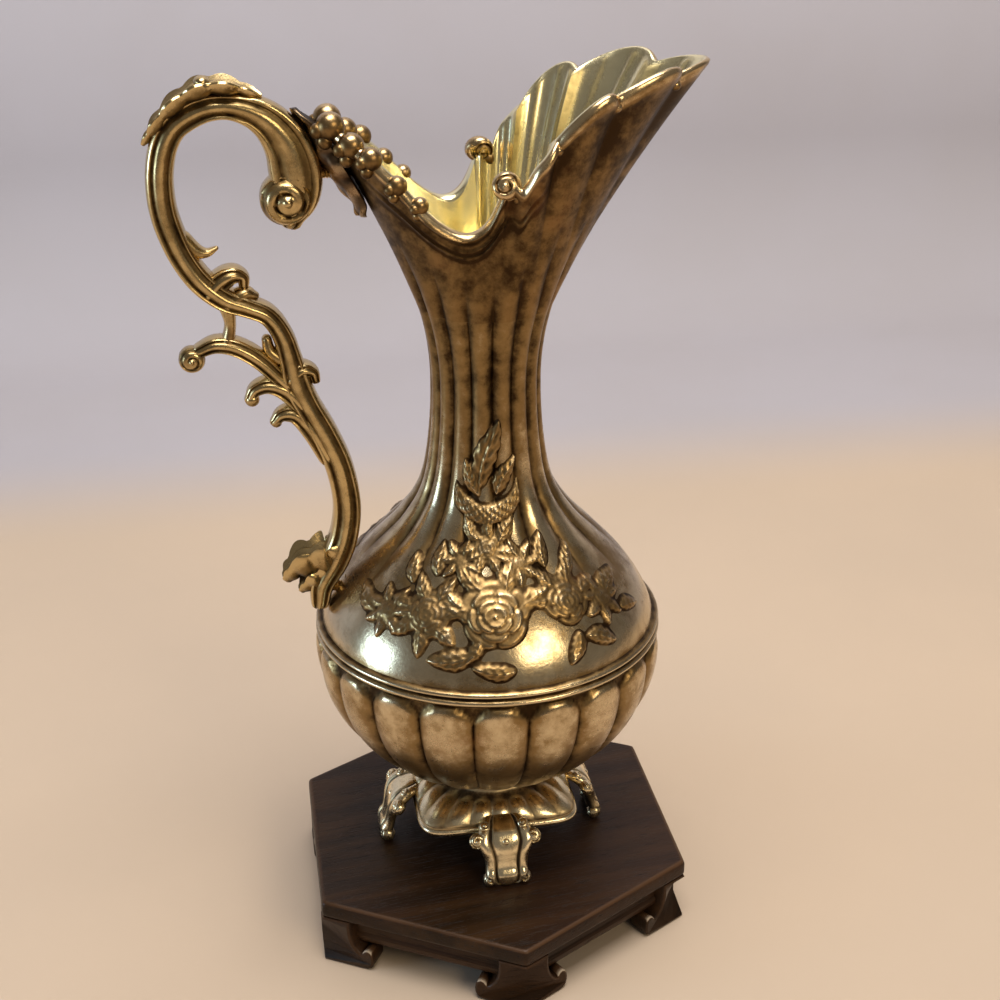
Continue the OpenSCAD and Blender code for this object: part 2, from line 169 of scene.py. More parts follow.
backdrop_paint, n, surface = new_material("backdrop_paint")
place = n.add("NewGeometry").outputs["Position"]
height = n.add("SeparateXYZ")
n.join(place, height.inputs[0])
mottle = n.noise(place, 9.0, 3.0)
colour = n.blend(n.span(height.outputs["Y"], 0.25, 0.36), FLOOR_WARM, WALL_COOL)
colour = n.blend(n.span(height.outputs["Z"], 0.02, 0.22, 0.0, 0.5), colour, WALL_PALE)
colour = n.blend(n.span(mottle, 0.3, 0.7, 0.0, 0.10), colour, FLECK)
n.join(colour, surface.inputs["Base Color"])
n.set(surface, Roughness=0.85)
sheet.materials.append(backdrop_paint)


# Lights: a cool window on the left, a warm lamp high on the right, a soft top
# light for the mouth, and a dim room so that the brass keeps dark reflections.
def area_light(name, at, aim, size, power, colour):
    lamp = bpy.data.lights.new(name, "AREA")
    lamp.shape, lamp.size, lamp.size_y = "RECTANGLE", *size
    lamp.energy, lamp.color = power, colour
    lamp_object = bpy.data.objects.new(name, lamp)
    lamp_object.location = at
    lamp_object.rotation_euler = (Vector(aim) - Vector(at)).to_track_quat("-Z", "Y").to_euler()
    scene.collection.objects.link(lamp_object)


middle = (0.0, 0.0, 0.12)
area_light("window", (-1.25, -0.09, 0.24), middle, (0.46, 0.42), 5.6, (0.52, 0.74, 1.0))
area_light("lamp", (0.62, -1.05, 0.80), middle, (0.60, 0.38), 5.0, (1.0, 0.82, 0.55))
area_light("ceiling", (0.1, -0.15, 1.5), middle, (1.0, 0.8), 22.5, (1.0, 0.95, 0.90))
room = bpy.data.worlds.new("room")
scene.world = room
room.use_nodes = True
room.node_tree.nodes["Background"].inputs[0].default_value = (0.60, 0.54, 0.49, 1)
room.node_tree.nodes["Background"].inputs[1].default_value = 0.27
scene.view_settings.view_transform = "Standard"

# ---------------------------------------------------------------------------
# Top board of the stand: one hexagonal hardwood board, stained almost black
# and waxed, with edges rubbed soft. It rests on the rails and bracket feet.
BOARD_MM = board_high.z / MM - board_low.z / MM
STAND_H = board_high.z / MM
FLAT_R = (board_high.x - board_low.x) / MM / 2
COS30, TAN30 = math.cos(math.radians(30)), math.tan(math.radians(30))


def ray(turn):
    """Unit vector in plan at an angle in radians."""
    return np.array([math.cos(turn), math.sin(turn)])


def grid_faces(rows, columns, loop, start):
    """Quads over a grid of closed rows; loop also joins the last row to the first."""
    i, j = np.meshgrid(np.arange(rows if loop else rows - 1), np.arange(columns), indexing="ij")
    below, beside = (i + 1) % rows, (j + 1) % columns
    corners = [i * columns + j, i * columns + beside, below * columns + beside, below * columns + j]
    return (start + np.stack(corners, -1)).reshape(-1, 4).tolist()


def shell(points, wear_and_highlight, loop=False, caps="fan"):
    """A closed skin over a grid of points (rows, columns, 3) in mm. Its wear value is 1
    where the piece is rubbed bright and 0 in its hollows; above 1 it paints a pale highlight on the
    wood."""
    points = np.asarray(points, float)
    wear_and_highlight = np.broadcast_to(np.asarray(wear_and_highlight, float), points.shape[:2])
    return {"points": points, "wear_and_highlight": wear_and_highlight, "loop": loop, "caps": caps}


def finish_piece(name, mesh, wear_and_highlight, look, node, crease=None):
    """One shown piece from its mesh. Look holds its material, CAD body and a slot; the slot is not
    used.
    """
    material, body, slot = look
    mesh.attributes.new("wear_and_highlight", "FLOAT", "POINT").data.foreach_set(
        "value", wear_and_highlight.astype(np.float32))
    mesh.shade_smooth()
    if crease:
        mesh.set_sharp_from_angle(angle=math.radians(crease))
    mesh.materials.append(material)
    piece = bpy.data.objects.new(name, mesh)
    scene.collection.objects.link(piece)
    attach(piece, body)
    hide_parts(node)
    return piece


def place_piece(name, shells, look, node, crease=40):
    """One shown piece joined from closed skins."""
    corners, faces, wear_and_highlight = [], [], []
    count = 0
    for part in shells:
        rows, columns = part["points"].shape[:2]
        faces += grid_faces(rows, columns, part["loop"], count)
        corners.append(part["points"].reshape(-1, 3))
        wear_and_highlight.append(part["wear_and_highlight"].reshape(-1))
        ends = () if part["loop"] else ((0, count), (rows - 1, count + (rows - 1) * columns))
        count += rows * columns
        for end, first in ends:
            edge = list(range(first, first + columns))
            if part["caps"] == "fan":
                corners.append(part["points"][end].mean(0)[None])
                wear_and_highlight.append(part["wear_and_highlight"][end].mean()[None])
                faces += [(edge[k], edge[(k + 1) % columns], count) for k in range(columns)]
                count += 1
            else:
                faces.append(edge)
    mesh = bpy.data.meshes.new(name)
    mesh.from_pydata(row_frame(np.concatenate(corners)), [], faces)
    outward = bmesh.new()
    outward.from_mesh(mesh)
    bmesh.ops.recalc_face_normals(outward, faces=outward.faces)
    outward.to_mesh(mesh)
    outward.free()
    return finish_piece(name, mesh, np.concatenate(wear_and_highlight), look, node, crease)


def hexagon(flat, ease_mm=1.6):
    """Plan of a hexagon with corners on the Y axis, its corners just eased."""
    corners = [ray(a) * flat / COS30 for a in np.radians(np.arange(30, 391, 60))]
    plan = []
    for start, end in zip(corners, corners[1:]):
        ease = ease_mm / np.linalg.norm(end - start)
        near = ease * np.array([0.15, 0.5, 1.0])
        for t in (*near, *np.linspace(0.06, 0.94, 10), *(1 - near[::-1])):
            lift = max(0.0, 1 - min(t, 1 - t) / ease)
            plan.append((start + (end - start) * t) * (1 - 0.10 * ease_mm * lift ** 2 / flat))
    return np.array(plan)


def new_group(name, **inputs):
    """An effect shared by several materials, giving a colour, gloss and height."""
    group = bpy.data.node_groups.new(name, "ShaderNodeTree")
    for socket, kind in inputs.items():
        group.interface.new_socket(socket, in_out="INPUT", socket_type="NodeSocket" + kind)
    for socket, kind in (("Colour", "Color"), ("Gloss", "Float"), ("Height", "Float")):
        group.interface.new_socket(socket, in_out="OUTPUT", socket_type="NodeSocket" + kind)
    return (group, Nodes(group), group.nodes.new("NodeGroupInput").outputs,
            group.nodes.new("NodeGroupOutput").inputs)


def apply_effect(n, surface, group, strength, distance):
    """Join a shared effect to a surface, with its wear (on the wood also painted highlights) and
    its relief.
    """
    effect = n.add("Group", node_tree=group)
    n.join(n.add("Attribute", attribute_name="wear_and_highlight").outputs["Fac"], effect.inputs["Worn"])
    n.join(effect.outputs["Colour"], surface.inputs["Base Color"])
    n.join(effect.outputs["Gloss"], surface.inputs["Roughness"])
    relief = n.set(n.add("Bump"), Strength=strength, Distance=distance)
    n.join(effect.outputs["Height"], relief.inputs["Height"])
    n.join(relief.outputs[0], surface.inputs["Normal"])
    return effect


# Dark stain over an open-pored wood, shared by the board, rails and feet, each
# with its grain turned along the piece. Rubbed edges show the wood's red, and a
# pale painted highlight is laid where the wear value goes above 1 (the toe tops).
grain_and_highlight_group, g, given, made = new_group("stained_grain_and_highlight", Along="Vector", Worn="Float")
figure = g.noise(given["Along"], 1.0, 5.0, 0.6, (14, 150, 150))
pores = g.noise(given["Along"], 1.0, 3.0, 0.7, (120, 1500, 1500))
cloud = g.noise(given["Along"], 22.0, 3.0)
stain = g.blend(g.span(figure, 0.35, 0.7), (0.016, 0.0078, 0.0030), (0.046, 0.0215, 0.0078))
stain = g.blend(g.span(cloud, 0.35, 0.75, 0.0, 0.6), stain, (0.030, 0.013, 0.008))
stain = g.blend(g.span(pores, 0.56, 0.68, 0.0, 0.75), stain, (0.006, 0.0035, 0.0025))
edge = g.math("MULTIPLY", g.span(given["Worn"], 0.6, 1.0), g.span(cloud, 0.3, 0.6, 0.35, 1.0))
stain = g.blend(edge, stain, (0.075, 0.037, 0.017))
# Painted highlight: where the wear value runs from 1 to 1.3 the colour goes pale.
g.join(g.blend(g.span(given["Worn"], 1.0, 1.3), stain, (0.42, 0.34, 0.25)), made["Colour"])
sunk = g.span(pores, 0.56, 0.68, 0.0, 0.2)
g.join(g.math("ADD", g.span(cloud, 0.3, 0.7, 0.30, 0.42), sunk), made["Gloss"])
sunk = g.span(pores, 0.54, 0.68)
g.join(g.math("SUBTRACT", g.math("MULTIPLY", figure, 0.35), sunk), made["Height"])


def stained_wood(name, turn):
    """Look of stained wood whose grain runs at the given angle in plan."""
    material, n, surface = new_material(name)
    along = n.add("Mapping")
    along.inputs["Rotation"].default_value = (0, 0, -turn)
    n.join(n.add("TexCoord").outputs["Object"], along.inputs["Vector"])
    grain = apply_effect(n, surface, grain_and_highlight_group, 0.35, 0.0003)
    n.join(along.outputs[0], grain.inputs["Along"])
    n.set(surface, Coat_Weight=0.03, Coat_Roughness=0.22, Specular_IOR_Level=0.16)
    return material, "stand", "stained_wood"


PROFILE_H = 5
# (inset from the hexagon, height in the profile, rubbed bright)
edge_profile = np.array([
    (14, .35, 0), (13.4, .05, 0), (1, 0, 0), (.35, .15, .3), (.05, .6, .7), (0, 1.2, .4),
    (0, 3, .3), (.05, 3.9, .5), (.3, 4.5, .9), (.75, 4.85, 1), (1.4, 4.97, .6), (2.4, 5, .3),
    (10, 5, .2)])
rows = [np.pad(hexagon(FLAT_R - inset), ((0, 0), (0, 1)),
               constant_values=(up / PROFILE_H - 1) * BOARD_MM) for inset, up, _ in edge_profile]
place_piece("stand_board", [shell(rows, edge_profile[:, 2:])],
            stained_wood("board_wood", math.radians(8)), "stand_top")

# ---------------------------------------------------------------------------
# Apron rails: six moulded strips glued under the board between the feet, set
# back from its edge, each with a bead along its lower front edge.
RAIL_BACK, LEG, LET_IN, RAIL_STATIONS = 2.5, 8.0, 0.02, 25
side_half = FLAT_R * TAN30
# (depth behind the rail's front, height under the board)
rail_section = [
    (0, 0), (0, -1.2), (.7, -1.9), (.7, -4.6), (.35, -5.1), (-.1, -5.5), (-.1, -6.6),
    (.4, -7.5), (1.2, -8), (5.2, -8), (6, -7.4), (6, 0)]
rail_worn = [0.1 if up > -5 else 0.75 if back < 1 else 0.2 for back, up in rail_section]
for k in range(1, 7):
    turn = math.radians(60 * k)
    out, along = ray(turn), ray(turn + math.pi / 2)
    rows = []
    for s in np.linspace(LEG - 0.5 - side_half, side_half - LEG + 0.5, RAIL_STATIONS):
        rows.append([(*(out * (FLAT_R - RAIL_BACK - max(back, 0.0)) + along * s),
                      -BOARD_MM + LET_IN + up) for back, up in rail_section])
    place_piece("rail_%d" % k, [shell(rows, rail_worn, caps="face")],
                stained_wood("rail_wood_%d" % k, turn + math.pi / 2), "apron_rail_%d" % k, 30)

# ---------------------------------------------------------------------------
# Bracket feet: six feet sawn to a low cabriole outline, mitred round the
# corners of the board, with toes that turn up at their ends. A pale highlight
# is painted along the top of each toe.
FOOT_MM = 15
# (distance from the corner along the side, height from the ground)
foot_outline = [
    (0, 0), (4, 0), (8, 0), (11.6, 0), (13.2, .15), (14.3, .8), (14.9, 2), (15, 3.4),
    (14.8, 4.8), (14.2, 6), (13.2, 6.5), (12.2, 6.2), (11.6, 5.5), (11.3, 5), (10.7, 5.4),
    (9.8, 6.4), (9, 7.6), (8.4, 9.2), (8.05, 11.2), (8, 13), (8, 14.98), (4, 14.98), (0, 14.98)]
foot_loop = foot_outline + [(-s, z) for s, z in foot_outline[-2:0:-1]]
# (depth from the board's edge, how far the outline shrinks, rubbed bright)
foot_depths = [
    (.05, .75, .9), (.12, .4, 1), (.35, .12, .9), (.8, 0, .5), (3, 0, .1), (6.2, 0, .1),
    (6.8, .15, .2), (7, .5, .1)]


def unit_rows(vectors):
    """Vectors, one per row, scaled to length 1."""
    return vectors / np.maximum(np.linalg.norm(vectors, axis=1), 1e-6)[:, None]


def shrink(outline, by):
    """Outline moved inwards along its own normals."""
    points = np.array(outline, float)
    ahead, behind = np.roll(points, -1, 0) - points, points - np.roll(points, 1, 0)
    normal = sum(unit_rows(np.column_stack([-d[:, 1], d[:, 0]])) for d in (ahead, behind))
    return points + by * unit_rows(normal)


for k in range(1, 7):
    a = math.radians(60 * k + 30)
    corner = ray(a) * FLAT_R / COS30
    rows, wear_and_highlight = [], []
    for depth, by, rub in foot_depths:
        keep = (FOOT_MM - depth * TAN30) / FOOT_MM
        row = []
        for s, z in shrink(foot_loop, by):
            side = a + math.radians(120 if s >= 0 else -120)
            plan = corner - ray(a) * depth / COS30 + abs(s) * keep * ray(side)
            row.append((*plan, z - STAND_H))
        rows.append(row)
        # Painted highlight: the toe tops get a wear value above 1, which the wood's colour turns
        # into a pale line.
        toe_highlights = [0.2 < depth < 4 and 11.2 < abs(s) < 14.4 and 5.3 < z < 7 for s, z in foot_loop]
        wear_and_highlight.append(0.8 * rub + 0.75 * np.array(toe_highlights))
    place_piece("foot_%d" % k, [shell(rows, wear_and_highlight, caps="face")],
                stained_wood("foot_wood_%d" % k, a + math.pi / 2), "bracket_foot_%d" % k, 34)

# ---------------------------------------------------------------------------
# Pedestal casting: a square skirt with its corners at 45 degrees, a ring of
# swelling lobes above its flat edge, and a hollow neck up to the collar. The
# bolt through its crown clamps it to the bowl.
patina_group, g, given, made = new_group(
    "brass_patina", Place="Vector", Worn="Float", Bright="Color", Mid="Color", Dark="Color")
cloud = g.noise(given["Place"], 55.0, 4.0, 0.6)
grime = g.noise(given["Place"], 240.0, 5.0, 0.65)
grit = g.noise(given["Place"], 1500.0, 3.0, 0.6)
rubbed = g.math("ADD", given["Worn"], g.swing(grime, 0.9))
rubbed = g.math("ADD", rubbed, g.swing(cloud, 0.55))
tone = g.blend(g.span(rubbed, 0.02, 0.48), given["Dark"], given["Mid"])
tone = g.blend(g.span(rubbed, 0.45, 0.95), tone, given["Bright"])
tone = g.blend(g.span(cloud, 0.55, 0.8, 0.0, 0.35), tone, (0.23, 0.095, 0.035))
spots = g.math("MULTIPLY", g.span(grit, 0.62, 0.72), g.span(cloud, 0.4, 0.65))
tone = g.blend(g.math("MULTIPLY", spots, 0.6), tone, given["Dark"])
g.join(tone, made["Colour"])
gloss = g.math("ADD", g.span(rubbed, 0.0, 0.9, 0.50, 0.21), g.swing(grit, 0.16))
g.join(g.math("ADD", gloss, g.span(cloud, 0.45, 0.75, 0.0, 0.07)), made["Gloss"])
g.join(g.math("ADD", g.math("MULTIPLY", grit, 0.35), grime), made["Height"])


def aged_brass(name, slot, bright, middling, dark, bump=0.16):
    """Look of cast brass: bright where handled, brown-black in its hollows."""
    material, n, surface = new_material(name)
    finish = apply_effect(n, surface, patina_group, bump, 0.0004)
    n.join(n.add("TexCoord").outputs["Object"], finish.inputs["Place"])
    for socket, colour in (("Bright", bright), ("Mid", middling), ("Dark", dark)):
        finish.inputs[socket].default_value = (*colour, 1)
    n.set(surface, Metallic=1.0)
    return material, "ewer", slot


def step(x, low, high):
    """0 below low, 1 above high, eased between."""
    t = np.clip((np.asarray(x, float) - low) / (high - low), 0, 1)
    return t * t * (3 - 2 * t)


def lobes(angle, count, valley, power=0.7):
    """1 on the crown of each of count lobes round the axis, 0 in the valleys.
    Angles are degrees from the spout."""
    return np.abs(np.sin(np.radians((angle - valley) * count / 2))) ** power


def around(angle, radius, z):
    """Points at angles in degrees and a radius round the axis."""
    angle, radius, z = np.broadcast_arrays(np.radians(angle), radius, z)
    return np.stack([radius * np.cos(angle), radius * np.sin(angle), z], -1)


BOLT_CLEAR, PEDESTAL_TOP = 2.65, 21.0
foot_look = aged_brass("foot_brass", "aged_brass_foot", (0.90, 0.78, 0.52),
                       (0.62, 0.49, 0.28), (0.080, 0.057, 0.036))
# (radius, height, squareness of the plan, share of the lobes, rubbed bright)
skirt = np.array([
    (BOLT_CLEAR, PEDESTAL_TOP, 0, 0, .3), (10, 21, 0, 0, .3), (14.3, 21, 0, 0, .2),
    (14.8, 20.7, 0, 0, .5), (15, 20.2, 0, 0, .4), (15.2, 19.8, 0, 0, .1),
    (15.9, 19.4, .02, .1, .1), (16.9, 19.2, .05, .35, .2), (18.1, 19.15, .1, .7, .45),
    (19.4, 18.95, .2, 1, .8), (20.6, 18.4, .35, 1, .95), (21.5, 17.5, .5, 1, .95),
    (22.2, 16.4, .68, .95, .85), (22.6, 15.3, .85, .7, .7), (22.6, 14.6, .95, .3, .3),
    (22.35, 14.2, 1, 0, .15), (22.4, 13.9, 1, 0, .4), (22.9, 13.6, 1, 0, .9),
    (23.1, 13.1, 1, 0, .95), (23.1, 12.5, 1, 0, .95), (22.9, 12.1, 1, 0, 1),
    (22.3, 12, 1, 0, .6), (21, 12.1, 1, 0, .2), (20.2, 12.8, .9, 0, .05),
    (19.6, 14.4, .7, 0, .05), (18.2, 16.4, .4, 0, .05), (15.5, 17.8, .1, 0, .05),
    (11, 18.4, 0, 0, .1), (6, 18.5, 0, 0, .1), (BOLT_CLEAR, 18.5, 0, 0, .1),
    (BOLT_CLEAR, 19.7, 0, 0, .1)])
angle = np.linspace(0, 360, 481)[:-1]
bearing = np.radians(angle)
square = (np.abs(np.cos(bearing)) ** 7 + np.abs(np.sin(bearing)) ** 7) ** (-1 / 7)
radius, up, squareness, share, rub = (column[:, None] for column in skirt.T)
lobe = lobes(angle, 24, 7.5)[None]
reach = radius * (1 + squareness * (square - 1)[None]) - share * 0.75 * (1 - lobe)
lift = up - share * 0.5 * (1 - lobe) * step(up, 16.5, 18.5)
wear_and_highlight = np.clip(rub - share * 0.55 * (1 - lobe ** 2), 0, 1)
place_piece("pedestal_skirt", [shell(around(angle[None], reach, lift), wear_and_highlight, loop=True)],
            foot_look, "pedestal")

# ---------------------------------------------------------------------------
# Scroll feet: four short legs cast with the pedestal and chased, each with a
# raised panel, a rolled scroll at either shoulder and a three-lobed toe.


def disc(centre, out, across, radius, thick, turns, start=0.0, steps=40, hand=1):
    """A rolled scroll end: a disc whose face, towards out, carries a spiral
    groove that winds from start round to the boss in the middle."""
    out, across = (np.array(v, float) / np.linalg.norm(v) for v in (out, across))
    third = np.cross(out, across)
    boss = 0.22
    turn = np.linspace(0, 2 * np.pi, steps + 1)[:-1]
    face = []
    for share in (0.06, 0.14, boss, 0.3, 0.38, 0.46, 0.54, 0.62, 0.7, 0.78, 0.86, 0.93, 0.98):
        coil = (share - boss) / (1 - boss) * turns
        phase = (hand * (turn - start) / (2 * np.pi) - coil) % 1
        groove = np.exp(-(np.minimum(phase, 1 - phase) / 0.13) ** 2)
        groove = groove * (share > boss) * step(1 - share, 0, 0.1)
        dome = math.sqrt(1 - share ** 4) if share > boss else 1.0 + 0.25 * (1 - share / boss)
        face.append((share, dome * thick / 2 - 0.16 * radius * groove, 0.75 - 0.7 * groove))
    plan = np.cos(turn)[:, None] * across + np.sin(turn)[:, None] * third
    rows, wear_and_highlight = [], []
    for side in (1, -1):
        for share, rise, rub in face[::side]:
            rows.append(np.array(centre) + radius * share * plan + side * rise[:, None] * out)
            wear_and_highlight.append(rub)
    return shell(rows, np.clip(wear_and_highlight, 0, 1))


def ball(centre, radius, squash=(1, 1, 1), wear_and_highlight=0.8, steps=12):
    """A bead, with its underside left darker."""
    tilt = np.linspace(0.12, np.pi - 0.12, steps)[:, None]
    turn = np.linspace(0, 2 * np.pi, 2 * steps + 1)[:-1][None]
    unit = np.stack(np.broadcast_arrays(
        np.sin(tilt) * np.cos(turn), np.sin(tilt) * np.sin(turn), np.cos(tilt)), -1)
    return shell(np.array(centre) + unit * radius * np.array(squash),
                 np.clip(wear_and_highlight * (0.65 + 0.5 * unit[..., 2]), 0, 1))


def spline(stations, per_span):
    """Catmull-Rom curve through stations of any number of columns."""
    p = np.array(stations, float)
    ends = np.vstack([2 * p[0] - p[1], p, 2 * p[-1] - p[-2]])
    t = (np.arange(per_span) / per_span)[:, None]
    path = []
    for a, b, c, d in zip(ends, ends[1:], ends[2:], ends[3:]):
        path.append(0.5 * (2 * b + (c - a) * t + (2 * a - 5 * b + 4 * c - d) * t ** 2
                           + (3 * b - a - 3 * c + d) * t ** 3))
    return np.vstack(path + [p[-1:]])


def limb(stations, section, per_span):
    """A cast limb with rounded ends, swept along points [x, z, half thickness,
    half width] in the plane of the handle. Section gives, round the limb,
    (thickness share, width share, rubbed bright)."""
    path = spline(stations, per_span)
    for _ in range(2):
        tip, before = path[-1], path[-2]
        outward = unit_rows((tip - before)[None, :2])[0]
        caps = [np.r_[tip[:2] + outward * tip[2] * math.sin(t), tip[2:] * math.cos(t)]
                for t in (0.5, 0.95, 1.3, 1.5)]
        path = np.vstack([path, caps])[::-1]
    ahead = unit_rows(np.gradient(path[:, :2], axis=0))
    section = np.array(section)
    thick = section[:, 0] * path[:, 2:3]
    wide = section[:, 1] * path[:, 3:4]
    points = np.stack([path[:, :1] - ahead[:, 1:] * thick, wide,
                       path[:, 1:2] + ahead[:, :1] * thick], -1)
    return shell(points, section[None, :, 2])


def both_sides(half):
    """Whole section from the half on one side."""
    return half + [(a, -b, c) for a, b, c in half[-2:0:-1]]


# Section of a leg: outer face first, with a raised panel between two grooves.
leg_section = [
    (1, 0, .8), (1.02, .2, .8), (.98, .4, .9), (.8, .47, .15), (.62, .52, 0), (.78, .58, .2),
    (1, .66, .9), (.98, .8, .85), (.75, .93, .7), (.3, 1, .6), (-.3, 1, .3), (-.8, .9, .1),
    (-1, .6, .05), (-1, 0, .05)]
leg_section = both_sides(leg_section)
leg_line = [
    (22.3, 15.9, 1.3, 5.6), (24.2, 15.3, 1.5, 6.6), (26.2, 14.1, 1.7, 7.6),
    (27.8, 12.4, 1.7, 8.2), (28.8, 10.5, 1.6, 7.2), (29.3, 8.6, 1.5, 6.3),
    (29.7, 6.7, 1.5, 5.9), (30.2, 4.9, 1.6, 5.9), (30.9, 3.4, 1.8, 6), (31, 2.3, 1.9, 5.6)]
leg = [limb(leg_line, leg_section, 7)]
for hand in (1, -1):
    across = (0, hand, 0)
    leg.append(disc((27.6, hand * 7.9, 12.9), (0.85, 0, 0.53), across, 2.3, 3.2, 1.4, hand=hand))
    leg.append(disc((25.2, hand * 5.4, 15.6), (0.5, 0, 0.86), across, 1.7, 2.4, 1.2, hand=-hand))
    leg.append(disc((30.7, hand * 4.9, 2.05), (0.94, 0, 0.34), across, 1.95, 3.8, 1.3, 1.0,
                    hand=-hand))
leg += [ball((31.2, 0, 2.3), 2.3, (0.75, 1.35, 1.0), .85, 14),
        ball((30.6, 0, 5.6), 1.25, (0.8, 2.3, 0.7), 1),
        ball((28.6, 0, 12.6), 1.3, wear_and_highlight=.9, steps=10)]
for k in range(1, 5):
    c, s = math.cos(math.radians(90 * k)), math.sin(math.radians(90 * k))
    about_axis = np.array([[c, s, 0], [-s, c, 0], [0, 0, 1]])
    parts = [{**part, "points": part["points"] @ about_axis} for part in leg]
    place_piece("scroll_leg_%d" % k, parts, foot_look, "scroll_foot_%d" % k, 50)

# ---------------------------------------------------------------------------
# Collar: a turned ring with one round bead between two fillets, which spaces
# the bowl off the pedestal. Its bead is pearled.
COLLAR_TOP = 24.0
collar_line = np.array([
    (BOLT_CLEAR, PEDESTAL_TOP), (14, PEDESTAL_TOP), (14.3, 21.15), (14.3, 21.5), (14.7, 21.6),
    (15.3, 21.9), (15.6, 22.5), (15.3, 23.1), (14.7, 23.4), (14.3, 23.5), (14.3, 23.85),
    (14, COLLAR_TOP), (BOLT_CLEAR, COLLAR_TOP), (BOLT_CLEAR, 22.5)])
pearls = lobes(angle, 40, 0)[None]
bead = step(collar_line[:, 0], 14.5, 15.2)[:, None]
skin = around(angle[None], collar_line[:, :1] - bead * 0.55 * (1 - pearls), collar_line[:, 1:])
wear_and_highlight = np.clip(0.25 + bead * (pearls - 0.35), 0, 1)
place_piece("collar_ring", [shell(skin, wear_and_highlight, loop=True)], foot_look, "collar", 50)

# ---------------------------------------------------------------------------
# Lower bowl: a spun and chased half globe with 20 round-topped gadroons that
# run from the collar up to just under the belt. Bored through for the bolt.
WALL, FLOOR_TOP, BELT_LOW, BELT_TOP = 1.8, 26.5, 68.0, 72.5
GADROONS, GADROON_AT, GADROON_TOP, LOBE_STEPS = 20, -104, 67.8, 26
BULB_R, BULB_Z, BOWL_DEPTH = 47.0, 64.0, 42.2
WAIST_R, WAIST_Z, NECK_R, NECK_Z = 14.0, 140.0, 17.0, 160.0
SHOULDER = [
    [0, 1], [.14, .94], [.27, .77], [.4, .5], [.5, .28], [.62, .11], [.78, .03], [1, 0]]


def smooth(x, stations):
    """Smooth curve through stations, level at both ends."""
    xs, ys = np.array(stations, float).T
    slopes = np.r_[0, (ys[2:] - ys[:-2]) / (xs[2:] - xs[:-2]), 0]
    x = np.asarray(x, float)
    i = np.clip(np.searchsorted(xs, x, side="right") - 1, 0, len(xs) - 2)
    h = xs[i + 1] - xs[i]
    t = (x - xs[i]) / h
    return (ys[i] * (2 * t ** 3 - 3 * t ** 2 + 1) + h * slopes[i] * (t ** 3 - 2 * t ** 2 + t)
            + ys[i + 1] * (3 * t ** 2 - 2 * t ** 3) + h * slopes[i + 1] * (t ** 3 - t ** 2))


def vessel_r(z):
    """Plain outer radius of the vessel at a height."""
    z = np.asarray(z, float)
    bowl = BULB_R * np.sqrt(np.clip(1 - ((BULB_Z - z) / BOWL_DEPTH) ** 2, 0, 1))
    shoulder = smooth(np.clip((z - BULB_Z) / (WAIST_Z - BULB_Z), 0, 1), SHOULDER)
    shoulder = WAIST_R + (BULB_R - WAIST_R) * shoulder
    neck = WAIST_R + (NECK_R - WAIST_R) * ((z - WAIST_Z) / (NECK_Z - WAIST_Z)) ** 2
    return np.where(z < BULB_Z, bowl, np.where(z < WAIST_Z, shoulder, neck))


body_look = aged_brass("body_brass", "aged_brass_body", (0.66, 0.54, 0.345),
                       (0.27, 0.175, 0.072), (0.036, 0.020, 0.009))
angle = np.linspace(GADROON_AT, GADROON_AT + 360, GADROONS * LOBE_STEPS + 1)[:-1]
share = np.linspace(0, 1, 64)
z = (COLLAR_TOP + (BELT_LOW - COLLAR_TOP) * share ** 1.45)[:, None]
across = np.cos(np.radians((angle - GADROON_AT) * GADROONS / 2))[None]
end = np.clip((z - GADROON_TOP) / 5.4 + 1, 0, 1)
gadroon = np.sqrt(np.clip(1 - np.abs(across) ** 2.6 - end ** 2.6 * 0.999, 0, 1)) ** 0.55
deep = 2.1 * step(z, 23.5, 33) * (0.75 + 0.25 * step(z, 40, 56))
outer = around(angle[None], vessel_r(z) - 0.55 * deep + deep * gadroon, z)
rub = np.clip(0.14 + 0.66 * gadroon, 0, 1) * (0.66 + 0.34 * step(z, 44, 62))
rub = rub + 0.25 * step(z, 67.3, BELT_LOW)
inner_z = (FLOOR_TOP + (BELT_LOW - FLOOR_TOP) * np.linspace(1, 0, 24) ** 1.6)[:, None]
inner = around(angle[None], vessel_r(inner_z) - WALL, inner_z)
hole = [around(angle, r, h) for r, h in (
    (9, FLOOR_TOP), (BOLT_CLEAR, FLOOR_TOP), (BOLT_CLEAR, 25.2), (BOLT_CLEAR, COLLAR_TOP),
    (9, COLLAR_TOP))]
rows = np.concatenate([outer, inner, hole])
wear_and_highlight = np.pad(rub, ((0, len(rows) - len(rub)), (0, 0)), constant_values=0.15)
place_piece("gadrooned_bowl", [shell(rows, wear_and_highlight, loop=True)], body_look, "lower_bowl", 60)

# ---------------------------------------------------------------------------
# Belt: a turned moulding with two ridges that covers the joint where the bowl
# is soldered to the upper body.
belt_line = np.array([
    (45, BELT_LOW, .1), (46.65, BELT_LOW, .1), (46.9, 68.3, .2), (47.3, 68.7, .8),
    (47.65, 69.15, 1), (47.6, 69.6, 1), (47.1, 70, .4), (46.5, 70.25, 0), (46.4, 70.5, 0),
    (46.9, 70.8, .4), (47.4, 71.2, .95), (47.45, 71.6, 1), (47.1, 72, .7), (46.4, 72.3, .2),
    (46, BELT_TOP, .1), (44.2, BELT_TOP, .1)])
angle = np.linspace(0, 360, 289)[:-1]
skin = around(angle[None], belt_line[:, :1], belt_line[:, 1:2])
place_piece("belt_moulding", [shell(skin, belt_line[:, 2:], loop=True)], body_look, "belt_band", 70)

# ---------------------------------------------------------------------------
# Upper body: shoulder and neck in one casting. The shoulder is left plain and
# polished below; reeds rise from the flowers and run up the neck.
REEDS, REED_AT = 16, -92


